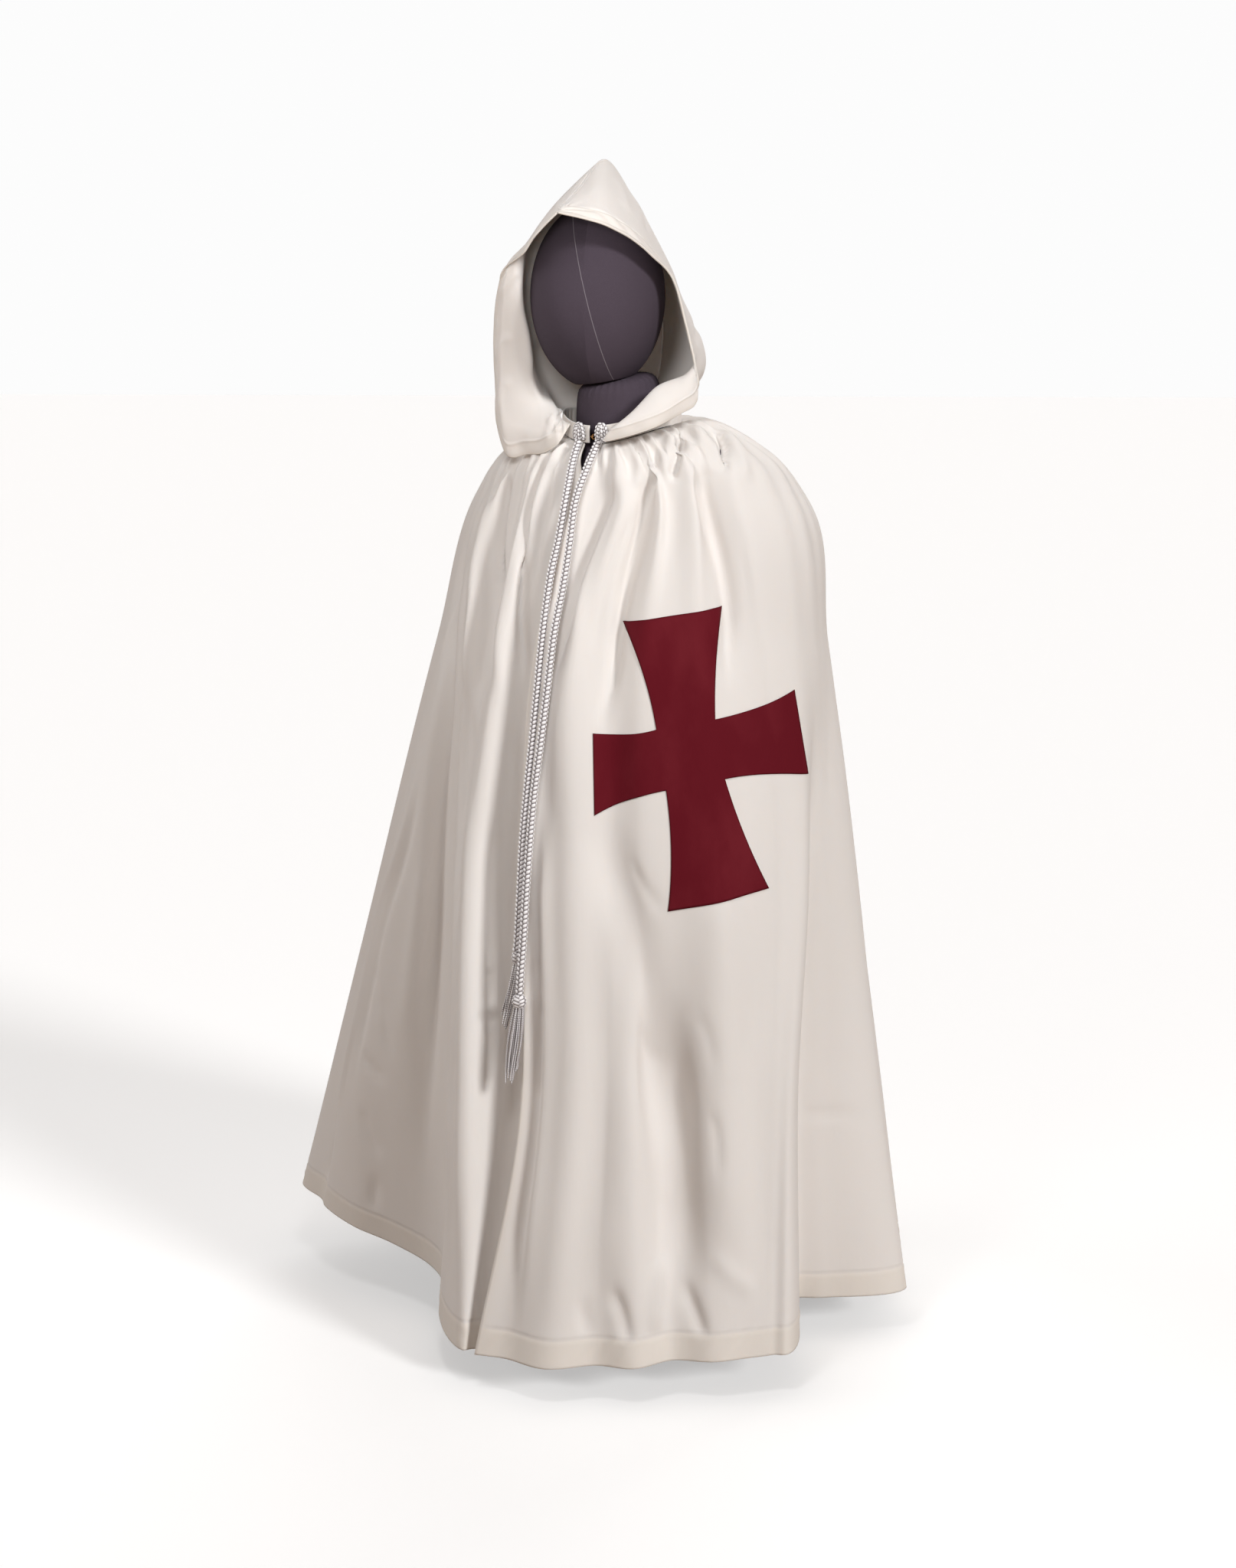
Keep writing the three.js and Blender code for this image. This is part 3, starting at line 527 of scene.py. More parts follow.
# ---------------------------------------------------------------- the cloth's drawings
@dataclass(frozen=True)
class Ring:
    """The mantle's outline at one way down from its neck seam, in millimetres."""

    name: str
    way: float
    centre_y: float
    left: float
    right: float
    front: float
    back: float
    z_front: float
    z_left: float
    z_right: float
    z_back: float
    ripple: float
    follow: float
    lying: bool

    def points(self, bearing: np.ndarray, out: np.ndarray, up: np.ndarray) -> np.ndarray:
        """Points of the ring.

        Args:
            bearing: degrees from the front towards the wearer's left.
            out: how far each point stands out.
            up: how far it is lifted.

        Returns:
            A row of points.
        """
        sine = np.sin(np.radians(bearing))
        cosine = np.cos(np.radians(bearing))
        across = np.where(sine > 0, self.left, self.right)
        deep = np.where(cosine > 0, self.front, self.back)
        reach = 1 / np.hypot(sine / across, cosine / deep) + out
        side = np.where(sine > 0, self.z_left, self.z_right)
        end = np.where(cosine > 0, self.z_front, self.z_back)
        height = side + (end - side) * cosine**2 + up
        return np.stack([reach * sine, self.centre_y - reach * cosine, height], -1)


@dataclass(frozen=True)
class Fold:
    """A fold's bearing and how far it stands out, at five of the rings."""

    name: str
    shoulder: Pair
    chest: Pair
    waist: Pair
    knee: Pair
    hem: Pair


@dataclass(frozen=True)
class Section:
    """A section of one half of the hood, from the seam behind to the stitched front edge."""

    seam: Point
    rear: Point
    side: Point
    roll: Point
    turn: Point
    edge: Point

    def row(self) -> list[Point]:
        """Its points in order."""
        return [self.seam, self.rear, self.side, self.roll, self.turn, self.edge]


RINGS = (
    Ring("seam", way=0, centre_y=-48, left=76, right=76, front=76, back=76,
         z_front=1104, z_left=1126, z_right=1126, z_back=1140, ripple=1.2, follow=0, lying=False),
    Ring("gather", way=30, centre_y=-40, left=106, right=106, front=100, back=92,
         z_front=1088, z_left=1131, z_right=1130, z_back=1136, ripple=3.6, follow=0.35, lying=True),
    Ring("crest", way=95, centre_y=-15, left=190, right=186, front=135, back=100,
         z_front=1064, z_left=1090, z_right=1088, z_back=1112, ripple=2.4, follow=0.75, lying=True),
    Ring("shoulder", way=165, centre_y=0, left=231, right=228, front=160, back=120,
         z_front=1035, z_left=1035, z_right=1035, z_back=1035, ripple=1.2, follow=1, lying=False),
    Ring("chest", way=355, centre_y=0, left=257, right=281, front=206, back=165,
         z_front=850, z_left=850, z_right=850, z_back=850, ripple=0.4, follow=1, lying=False),
    Ring("waist", way=610, centre_y=0, left=285, right=349, front=262, back=225,
         z_front=600, z_left=600, z_right=605, z_back=602, ripple=0, follow=1, lying=False),
    Ring("knee", way=915, centre_y=0, left=316, right=421, front=325, back=290,
         z_front=300, z_left=300, z_right=326, z_back=306, ripple=0, follow=1, lying=False),
    Ring("hem", way=1175, centre_y=0, left=347, right=458, front=385, back=340,
         z_front=41, z_left=47, z_right=94, z_back=58, ripple=0, follow=1, lying=False),
)
FOLDS_LEFT = (
    Fold("front edge", (-2, 3), (-10, 4), (-5, 3), (2, 3), (-2, 3)),
    Fold("first valley", (13, -9), (-5, -1), (2, -2), (7, -4), (4, -2)),
    Fold("first ridge", (21, 6), (6, 10), (11, 12), (14, 13), (12, 14)),
    Fold("second valley", (32, -10), (19, -10), (21, 0), (21, -4), (20, -5)),
    Fold("cross, inner", (36, 4), (29, 5), (29, 11), (27, 4), (27, 7)),
    Fold("first pocket", (41, -6), (38, 6), (37, 12), (35, -16), (34, -11)),
    Fold("cross, middle", (48, 6), (46, 10), (46, 14), (42, 2), (41, 9)),
    Fold("long valley", (54, -10), (57, -5), (55, 8), (50, 12), (47, 14)),
    Fold("cross, outer", (63, 3), (67, 0), (65, 5), (57, 16), (52, 20)),
    Fold("fold edge", (76, 0), (78, 0), (73, 8), (62, 16), (57, 20)),
    Fold("behind it", (85, 0), (88, -2), (81, -22), (75, -56), (74, -88)),
    Fold("side valley", (92, 0), (96, -3), (87, -16), (83, -40), (82, -62)),
    Fold("side ridge", (100, 2), (104, 2), (101, 3), (97, 6), (95, 13)),
    Fold("back valley 1", (110, -4), (112, -8), (111, -16), (109, -24), (109, -34)),
    Fold("back ridge 1", (120, 3), (121, 5), (121, 8), (121, 4), (121, -2)),
    Fold("back valley 2", (131, -6), (132, -12), (132, -22), (132, -34), (133, -44)),
    Fold("back ridge 2", (143, 4), (144, 8), (145, 12), (145, 14), (145, 16)),
    Fold("back valley 3", (155, -6), (156, -14), (156, -26), (157, -36), (157, -46)),
    Fold("back ridge 3", (168, 4), (169, 6), (169, 10), (169, 12), (169, 14)),
    Fold("centre back", (180, -4), (180, -8), (180, -16), (180, -20), (180, -24)),
)
FOLDS_RIGHT = (
    Fold("under edge", (-1, -8), (6, -8), (0, -9), (-7, -9), (-4, -9)),
    Fold("first valley", (14, -8), (16, -12), (13, -18), (5, -22), (3, -12)),
    Fold("bright ridge", (21, 7), (22, 12), (19, 12), (11, 8), (6, -2)),
    Fold("flank", (28, 0), (28, 2), (26, -6), (19, -22), (19, -58)),
    Fold("behind it", (34, -8), (33, -6), (34, -28), (28, -58), (31, -116)),
    Fold("dark valley", (41, -6), (40, -8), (42, -38), (40, -78), (42, -128)),
    Fold("shaded panel", (47, 2), (46, -2), (49, -22), (50, -50), (53, -104)),
    Fold("panel edge", (54, 0), (53, 0), (55, -8), (58, -26), (61, -64)),
    Fold("step", (61, -2), (61, -2), (62, -8), (65, -18), (69, -28)),
    Fold("step valley", (67, -3), (67, -5), (68, -14), (71, -28), (73, -16)),
    Fold("side ridge", (78, 1), (78, 2), (78, 0), (80, 4), (80, 27)),
    Fold("side", (91, 1), (92, 1), (92, 0), (92, 0), (92, 8)),
    Fold("back valley 1", (103, -4), (104, -8), (103, -16), (103, -26), (103, -36)),
    Fold("back ridge 1", (114, 3), (115, 6), (115, 8), (115, 10), (115, 12)),
    Fold("back valley 2", (126, -6), (127, -12), (127, -24), (127, -34), (127, -46)),
    Fold("back ridge 2", (139, 4), (139, 8), (139, 12), (140, 14), (140, 16)),
    Fold("back valley 3", (151, -6), (152, -12), (152, -22), (152, -32), (152, -42)),
    Fold("back ridge 3", (165, 4), (166, 8), (166, 12), (166, 14), (166, 14)),
    Fold("centre back", (180, -4), (180, -8), (180, -16), (180, -20), (180, -24)),
)
HOOD_LEFT_SECTIONS = (
    Section((0, 44, 1171), (58, 14, 1164), (90, -48, 1152),
            (60, -111, 1145), (42, -143, 1128), (28, -146, 1108)),
    Section((0, 56, 1196), (70, 22, 1188), (102, -45, 1176),
            (80, -106, 1176), (92, -128, 1150), (86, -133, 1123)),
    Section((0, 63, 1222), (76, 25, 1214), (111, -38, 1200),
            (106, -82, 1190), (114, -98, 1166), (112, -99, 1142)),
    Section((0, 66, 1248), (74, 22, 1240), (106, -35, 1224),
            (115, -70, 1208), (121, -79, 1182), (123, -80, 1154)),
    Section((0, 64, 1272), (66, 16, 1264), (98, -38, 1248),
            (111, -68, 1230), (117, -74, 1206), (122, -74, 1178)),
    Section((0, 58, 1298), (54, 10, 1292), (84, -42, 1282),
            (97, -66, 1274), (103, -76, 1264), (108, -84, 1255)),
    Section((0, 42, 1330), (44, -2, 1326), (70, -44, 1324),
            (84, -72, 1320), (92, -88, 1315), (98, -99, 1310)),
    Section((0, 10, 1392), (30, -32, 1384), (56, -70, 1370),
            (72, -102, 1356), (80, -120, 1346), (85, -131, 1338)),
    Section((0, -28, 1428), (26, -62, 1414), (48, -98, 1396),
            (62, -128, 1378), (69, -146, 1366), (70, -156, 1358)),
    Section((0, -94, 1465), (13, -118, 1446), (27, -146, 1424),
            (39, -166, 1402), (45, -176, 1388), (48, -182, 1374)),
    Section((-3, -150, 1427), (5, -162, 1419), (13, -175, 1409),
            (19, -186, 1398), (23, -192, 1390), (25, -196, 1382)),
    Section((-4, -192, 1399), (-4, -195, 1397), (-4, -198, 1395),
            (-4, -201, 1393), (-4, -204, 1391), (-4, -207, 1389)),
)
HOOD_RIGHT_SECTIONS = (
    Section((0, 44, 1171), (-58, 14, 1164), (-88, -50, 1152),
            (-60, -111, 1143), (-46, -141, 1126), (-40, -140, 1106)),
    Section((0, 56, 1196), (-70, 22, 1188), (-100, -52, 1172),
            (-60, -119, 1150), (-68, -138, 1120), (-64, -138, 1092)),
    Section((0, 63, 1222), (-76, 25, 1214), (-110, -52, 1194),
            (-78, -119, 1163), (-94, -136, 1124), (-92, -132, 1089)),
    Section((0, 66, 1248), (-80, 24, 1240), (-117, -56, 1216),
            (-88, -124, 1188), (-120, -138, 1136), (-122, -133, 1087)),
    Section((0, 64, 1272), (-80, 22, 1264), (-119, -62, 1238),
            (-88, -128, 1212), (-124, -140, 1170), (-141, -129, 1128)),
    Section((0, 58, 1298), (-78, 16, 1290), (-120, -70, 1264),
            (-89, -134, 1242), (-122, -143, 1205), (-142, -130, 1166)),
    Section((0, 42, 1330), (-72, 8, 1322), (-117, -80, 1294),
            (-91, -146, 1280), (-117, -151, 1256), (-142, -135, 1232)),
    Section((0, 10, 1392), (-58, -12, 1374), (-106, -94, 1338),
            (-87, -153, 1322), (-105, -163, 1306), (-128, -151, 1290)),
    Section((0, -28, 1428), (-48, -56, 1410), (-86, -114, 1374),
            (-78, -161, 1348), (-90, -172, 1337), (-102, -171, 1322)),
    Section((0, -94, 1465), (-22, -116, 1438), (-44, -142, 1406),
            (-58, -169, 1372), (-62, -181, 1354), (-63, -189, 1341)),
    Section((-3, -150, 1427), (-12, -163, 1417), (-23, -177, 1403),
            (-32, -188, 1386), (-37, -194, 1373), (-40, -199, 1362)),
    Section((-4, -192, 1399), (-4, -195, 1397), (-4, -198, 1395),
            (-4, -201, 1393), (-4, -204, 1391), (-4, -207, 1389)),
)
CORD_RIGHT = (
    (-17, -131.5, 1107), (-16, -150, 1080), (-11, -176, 1035), (-15, -187, 985), (-19, -200, 941),
    (-21, -215, 873), (-21, -229, 802), (-20, -243, 740), (-19, -256, 687), (-17, -270, 628),
    (-14, -281, 570), (-11, -292, 511), (-11, -295, 496),
)
CORD_LEFT = (
    (12, -132.5, 1107), (9, -155, 1077), (4, -177, 1035), (2, -188, 985), (-1, -199, 932),
    (-4, -217, 873), (-6, -231, 802), (-7, -245, 740), (-8, -259, 680), (-6, -272, 628),
    (-4, -284, 570), (-1, -296, 512), (0, -304, 470), (0, -307, 448),
)


@dataclass(frozen=True)
class Crease:
    """A soft trough or ridge of the cloth, along points of fold number and millimetres down.

    Attributes:
        path: its points.
        depth: how far it is pressed in, or out where negative.
        width: its half width.
    """

    path: tuple[Pair, ...]
    depth: float
    width: float


CREASES_LEFT = (
    Crease(((1.9, 90), (1.15, 190), (1.25, 260), (1.5, 312), (1.45, 356), (1.1, 404), (0.8, 480)), 8, 8),
    Crease(((2.4, 30), (1.8, 100), (1.4, 180), (1.5, 260), (2.0, 340), (1.9, 430)), -6, 8),
    Crease(((2.5, 180), (2.3, 236), (2.35, 284), (2.45, 328), (2.5, 352)), 3, 3),
    Crease(((5.2, 40), (3.95, 96), (2.9, 160), (2.85, 260), (3.0, 320), (3.05, 380), (2.75, 450)), 13, 7),
    Crease(((3.6, 30), (2.9, 90), (2.4, 140)), -4, 7),
    Crease(((7.4, 44), (6.3, 64), (5.55, 90), (5.05, 130)), 12, 5),
    Crease(((6.2, 40), (5.3, 76), (4.6, 120)), -4, 8),
    Crease(((7.6, 60), (6.6, 90), (5.9, 140)), -4, 8),
    Crease(((9.05, 48), (8.6, 70), (8.05, 94), (7.8, 122)), 13, 5),
    Crease(((8.2, 40), (7.6, 76), (7.2, 120)), -6, 7),
    Crease(((9.4, 50), (8.7, 90), (8.3, 140)), -6, 9),
    Crease(((7.3, 80), (6.9, 132), (6.95, 184), (7.1, 240), (7.1, 300), (6.9, 352), (6.7, 400)), 11, 9),
    Crease(((7.9, 200), (7.8, 260), (7.7, 330)), 1.2, 3),
    Crease(((10.2, 30), (9.9, 90), (9.8, 150)), 1.5, 8),
    Crease(((1.0, 520), (1.1, 660), (1.2, 800), (1.2, 930), (1.25, 1040), (1.3, 1150)), -12, 15),
    Crease(((1.9, 540), (1.9, 700), (1.9, 850), (1.8, 1000), (1.9, 1130)), -6, 24),
    Crease(((3.1, 560), (3.2, 720), (3.25, 880), (3.2, 1030), (3.1, 1130)), -9, 26),
    Crease(((2.7, 550), (3.3, 636), (3.9, 712), (4.4, 788), (4.8, 880), (5.1, 960)), 14, 26),
    Crease(((4.1, 760), (4.6, 850), (4.9, 920), (5.1, 968), (5.3, 1044), (5.5, 1108)), 14, 30),
    Crease(((6.2, 600), (6.2, 700), (6.4, 850), (6.5, 980), (6.5, 1080)), -9, 28),
    Crease(((6.15, 896), (6.3, 928), (6.3, 972)), 3, 5),
    Crease(((5.7, 780), (6.0, 810), (6.2, 850)), 2, 6),
    Crease(((4.05, 796), (4.5, 824), (4.85, 852)), 3, 7),
    Crease(((3.5, 600), (4.1, 636), (4.75, 664)), 2.5, 5),
    Crease(((4.7, 992), (4.85, 1012), (4.7, 1060), (4.25, 1072)), 2.5, 6),
    Crease(((4.8, 1060), (4.6, 1105), (4.5, 1142)), -6, 9),
    Crease(((3.4, 1090), (3.7, 1118), (3.9, 1150)), 6, 8),
    Crease(((5.3, 1090), (5.6, 1122), (5.85, 1150)), 6, 8),
    Crease(((6.0, 1056), (6.7, 1084), (7.4, 1104)), -3, 9),
    Crease(((2.6, 1100), (2.8, 1142)), 3, 8),
    Crease(((7.4, 700), (7.3, 860), (7.5, 1010), (7.3, 1120)), 4, 20),
    Crease(((10.4, 940), (11.0, 944), (11.8, 952)), 3, 4),
    Crease(((9.9, 420), (10.1, 640), (10.0, 860)), 3, 14),
    Crease(((12.6, 240), (13.4, 420), (14.0, 560)), 5, 16),
    Crease(((15.4, 40), (15.0, 160), (15.2, 330)), 8, 8),
    Crease(((13.2, 30), (13.0, 120), (13.1, 230)), 7, 7),
    Crease(((17.3, 30), (17.1, 140), (16.9, 300)), 8, 8),
    Crease(((11.6, 30), (11.5, 110), (11.7, 200)), 6, 8),
    Crease(((16.2, 620), (15.6, 800), (15.8, 1000)), 4, 16),
    Crease(((17.9, 500), (18.3, 640), (18.2, 820)), 3, 14),
)
CREASES_RIGHT = (
    Crease(((2.8, 56), (2.7, 116), (2.5, 192), (1.8, 260), (1.5, 312), (1.2, 360), (0.95, 400)), 15, 6),
    Crease(((1.5, 40), (1.2, 120), (1.1, 220), (1.0, 320)), -5, 7),
    Crease(((3.2, 40), (2.9, 120), (2.7, 200), (2.5, 280), (2.1, 360), (1.6, 430)), -8, 8),
    Crease(((5.75, 80), (5.6, 152), (5.3, 204), (4.7, 264), (3.6, 316), (2.3, 400)), 14, 7),
    Crease(((4.2, 30), (3.9, 90), (3.7, 170), (3.4, 250)), -5, 8),
    Crease(((5.8, 96), (6.2, 124), (6.55, 156), (6.4, 180)), 5, 5),
    Crease(((6.6, 150), (6.3, 220), (5.7, 300), (4.8, 400), (3.4, 480)), -9, 9),
    Crease(((6.6, 40), (6.8, 100), (6.9, 170)), 5, 7),
    Crease(((7.8, 30), (8.0, 100), (8.1, 200)), 5, 8),
    Crease(((9.3, 30), (9.5, 110), (9.5, 210)), 5, 8),
    Crease(((2.9, 480), (2.3, 620), (2.1, 770), (2.1, 940), (2.2, 1100)), -6, 13),
    Crease(((1.2, 440), (0.95, 540), (0.9, 640), (0.9, 740)), 4, 11),
    Crease(((1.5, 560), (1.45, 700), (1.4, 820)), 3, 8),
    Crease(((9.0, 220), (7.65, 324), (6.55, 420), (5.95, 520), (5.5, 680), (5.3, 850), (5.2, 1060)), 18, 14),
    Crease(((6.4, 224), (5.6, 320), (5.0, 420), (4.5, 520), (3.6, 620), (3.0, 700)), -9, 11),
    Crease(((3.7, 610), (2.9, 700), (2.75, 790), (2.8, 880), (2.65, 964), (2.6, 1080)), -10, 12),
    Crease(((7.3, 520), (7.25, 640), (7.7, 730), (7.6, 850), (7.9, 970), (8.6, 1090)), -5, 7),
    Crease(((6.9, 520), (6.8, 640), (7.1, 740), (7.1, 860), (7.3, 980)), 5, 8),
    Crease(((7.0, 925), (6.7, 935), (6.1, 950)), 4, 6),
    Crease(((6.6, 830), (6.3, 876), (6.0, 915)), 3, 6),
    Crease(((7.1, 800), (6.8, 830), (6.6, 870)), 2.5, 6),
    Crease(((6.9, 1000), (6.6, 1030), (6.2, 1060)), 3, 9),
    Crease(((5.9, 640), (5.8, 760), (5.8, 900)), -3, 14),
    Crease(((8.6, 1060), (8.8, 1110), (8.7, 1142)), 4, 9),
    Crease(((6.4, 1090), (6.5, 1140)), 3, 9),
    Crease(((11.4, 30), (11.6, 130), (11.5, 260)), 8, 8),
    Crease(((13.5, 30), (13.4, 140), (13.6, 320)), 8, 8),
    Crease(((15.5, 30), (15.7, 130), (15.6, 280)), 8, 8),
    Crease(((12.2, 480), (12.5, 640), (12.3, 820)), 4, 16),
    Crease(((14.6, 600), (14.4, 780), (14.7, 1000)), 4, 18),
    Crease(((16.8, 420), (16.5, 600), (16.8, 800)), 3, 14),
)
HOOD_CREASES_LEFT = (
    Crease(((1.0, 120), (1.6, 200), (2.2, 230)), 2, 7),
    Crease(((2.0, 40), (2.4, 90), (3.0, 120)), 3, 8),
    Crease(((0.6, 500), (1.6, 470), (2.6, 480)), 2.5, 10),
    Crease(((0.9, 860), (1.8, 850), (2.8, 840)), 2, 6),
    Crease(((0.9, 960), (1.8, 940), (2.6, 930)), -2, 9),
)
HOOD_CREASES_RIGHT = (
    Crease(((2.6, 30), (3.0, 80), (3.4, 140), (3.6, 210)), 5, 6),
    Crease(((3.2, 20), (3.5, 70), (4.0, 120), (4.4, 160)), -5, 6),
    Crease(((3.6, 20), (4.0, 60), (4.5, 90)), 5, 6),
    Crease(((3.1, 240), (3.1, 400), (3.1, 560), (3.1, 700), (3.1, 860)), 3, 6),
    Crease(((3.6, 500), (4.2, 520), (4.8, 500)), 1.5, 7),
    Crease(((3.5, 640), (4.1, 660), (4.8, 650)), 2, 6),
    Crease(((3.2, 820), (3.8, 800), (4.6, 780)), 2.5, 6),
    Crease(((0.6, 480), (1.6, 500), (2.6, 470)), 2.5, 10),
    Crease(((0.9, 780), (1.8, 800), (2.7, 840)), 2, 9),
)


# ---------------------------------------------------------------- curves and lattices
def smooth(values: np.ndarray, at: np.ndarray) -> np.ndarray:
    """A smooth curve through evenly spaced values.

    Args:
        values: numbers or points.
        at: places along them, counted in values.

    Returns:
        The values there.
    """
    values = np.asarray(values, float)
    at = np.asarray(at, float)
    last = len(values) - 1
    start = np.clip(np.floor(at).astype(int), 0, last - 1)
    shape = at.shape + (1,) * (values.ndim - 1)
    part = (at - start).reshape(shape)
    here = values[start]
    there = values[start + 1]
    before = np.where((start > 0).reshape(shape), values[np.maximum(start - 1, 0)], 2 * here - there)
    inside = (start + 1 < last).reshape(shape)
    after = np.where(inside, values[np.minimum(start + 2, last)], 2 * there - here)
    bend = 2 * before - 5 * here + 4 * there - after
    cubic = 3 * (here - there) + after - before
    return here + 0.5 * part * (there - before + part * (bend + part * cubic))


def between(values: np.ndarray, low: float, high: float) -> np.ndarray:
    """Rises smoothly from 0 at low to 1 at high."""
    part = np.clip((np.asarray(values, float) - low) / (high - low), 0, 1)
    return part * part * (3 - 2 * part)


def bell(values: np.ndarray, width: float) -> np.ndarray:
    """A soft bump of 1 at 0 that falls away in a width."""
    return np.exp(-((np.asarray(values, float) / width) ** 2))


def normals_of(lattice: np.ndarray) -> np.ndarray:
    """Unit normals of a lattice of points, by its rows and columns."""
    across = np.gradient(lattice, axis=1)
    down = np.gradient(lattice, axis=0)
    normal = np.cross(across, down)
    length = np.linalg.norm(normal, axis=-1, keepdims=True)
    return normal / np.maximum(length, 1e-12)


def lengths_of(lattice: np.ndarray) -> np.ndarray:
    """Distances along each row and down each column of a lattice, as pairs."""
    across = np.linalg.norm(np.diff(lattice, axis=1), axis=-1)
    down = np.linalg.norm(np.diff(lattice, axis=0), axis=-1)
    rows = np.concatenate([np.zeros((len(lattice), 1)), np.cumsum(across, axis=1)], axis=1)
    columns = np.concatenate([np.zeros((1, lattice.shape[1])), np.cumsum(down, axis=0)], axis=0)
    return np.stack([rows, columns], -1)


def area_of(lattice: np.ndarray) -> float:
    """The area of a lattice, in its own units squared."""
    across = lattice[:-1, 1:] - lattice[:-1, :-1]
    down = lattice[1:, :-1] - lattice[:-1, :-1]
    return float(np.linalg.norm(np.cross(across, down), axis=-1).sum())


CREASE_STEPS = 24
CREASE_REACH = 16  # rows and columns beside a crease that it can still move


def pressed(
    lattice: np.ndarray,
    folds: np.ndarray,
    ways: np.ndarray,
    creases: Sequence[Crease],
) -> np.ndarray:
    """How far the creases press each point of a lattice in.

    Args:
        lattice: the cloth's points.
        folds: fold number of each column.
        ways: way down of each row.
        creases: the troughs and ridges.

    Returns:
        A depth for each point.
    """
    depth = np.zeros(lattice.shape[:2])
    for crease in creases:
        path = smooth(np.array(crease.path), np.linspace(0, len(crease.path) - 1, CREASE_STEPS + 1))
        column = np.interp(path[:, 0], folds, np.arange(len(folds)))
        row = np.interp(path[:, 1], ways, np.arange(len(ways)))
        line = smooth(smooth(lattice, row).transpose(1, 0, 2), column)
        line = line[np.arange(len(path)), np.arange(len(path))]
        top = max(int(row.min()) - CREASE_REACH, 0)
        end = min(int(row.max()) + CREASE_REACH + 1, len(ways))
        first = max(int(column.min()) - CREASE_REACH, 0)
        last = min(int(column.max()) + CREASE_REACH + 1, len(folds))
        block = lattice[top:end, first:last]
        gap = np.full(block.shape[:2], 1e9)
        place = np.zeros(block.shape[:2])
        for step in range(CREASE_STEPS):
            stretch = line[step + 1] - line[step]
            share = np.clip((block - line[step]) @ stretch / stretch.dot(stretch), 0, 1)
            distance = np.linalg.norm(block - line[step] - share[..., None] * stretch, axis=-1)
            closer = distance < gap
            gap = np.where(closer, distance, gap)
            place = np.where(closer, (step + share) / CREASE_STEPS, place)
        ends = between(place, -0.03, 0.22) * (1 - between(place, 0.72, 1.03))
        depth[top:end, first:last] += crease.depth * bell(gap, crease.width) * ends
    return depth


# ---------------------------------------------------------------- pieces from lattices and paths
def keep(work: bmesh.types.BMesh, name: str, finish: Finish) -> bpy.types.Object:
    """Turns a bmesh into a piece with its finish, riding on the body.

    Args:
        work: the mesh, which is freed.
        name: the piece's name.
        finish: its finish, which also names its slot.

    Returns:
        The piece.
    """
    mesh = bpy.data.meshes.new(name)
    work.to_mesh(mesh)
    work.free()
    mesh.polygons.foreach_set("use_smooth", [True] * len(mesh.polygons))
    piece = bpy.data.objects.new(name, mesh)
    bpy.context.collection.objects.link(piece)
    piece.data.materials.append(finish.material())
    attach(piece, BODY)
    LOG.info("%s: %d faces", name, len(mesh.polygons))
    return piece


def spread(work: bmesh.types.BMesh, lattice: np.ndarray, marks: dict[str, np.ndarray], turned: bool) -> None:
    """Adds a grid to a bmesh and moves its points to a lattice in millimetres.

    Args:
        work: the bmesh.
        lattice: points by row and column.
        marks: numbers to store on the points, by attribute name.
        turned: whether the faces are to be turned round.
    """
    rows, columns = lattice.shape[:2]
    lengths = lengths_of(lattice) * MM
    for name in marks:
        if name not in work.verts.layers.float:
            work.verts.layers.float.new(name)
    layers = {name: work.verts.layers.float[name] for name in marks}
    texture = work.loops.layers.uv.get("UVMap") or work.loops.layers.uv.new("UVMap")
    verts = bmesh.ops.create_grid(work, x_segments=columns - 1, y_segments=rows - 1, size=0.5)["verts"]
    places = {}
    for vert in verts:
        column = round((vert.co.x + 0.5) * (columns - 1))
        row = round((vert.co.y + 0.5) * (rows - 1))
        places[vert] = (row, column)
    faces = {face for vert in verts for face in vert.link_faces}
    for face in faces:
        for loop in face.loops:
            loop[texture].uv = lengths[places[loop.vert]]
    for vert, place in places.items():
        vert.co = lattice[place] * MM
        for name, layer in layers.items():
            vert[layer] = marks[name][place]
    if turned:
        bmesh.ops.reverse_faces(work, faces=list(faces))


def frames_along(path: np.ndarray) -> tuple[np.ndarray, np.ndarray]:
    """Two sideways directions at each point of a path, carried along it without twisting."""
    ahead = np.gradient(path, axis=0)
    ahead /= np.linalg.norm(ahead, axis=1, keepdims=True)
    side = np.cross(ahead[0], (0.0, 1.0, 0.2))
    sides = []
    for direction in ahead:
        side = side - direction * side.dot(direction)
        side = side / np.linalg.norm(side)
        sides.append(side)
    first = np.array(sides)
    return first, np.cross(ahead, first)


def evenly(points: Sequence[Point], step: float) -> np.ndarray:
    """Points along a smooth path at an even step."""
    fine = smooth(np.array(points, float), np.linspace(0, len(points) - 1, 40 * len(points)))
    way = np.concatenate([[0], np.cumsum(np.linalg.norm(np.diff(fine, axis=0), axis=1))])
    stops = np.linspace(0, way[-1], max(int(way[-1] / step), 2) + 1)
    return np.stack([np.interp(stops, way, fine[:, i]) for i in range(3)], -1)


Relief = Callable[[np.ndarray, np.ndarray], np.ndarray]


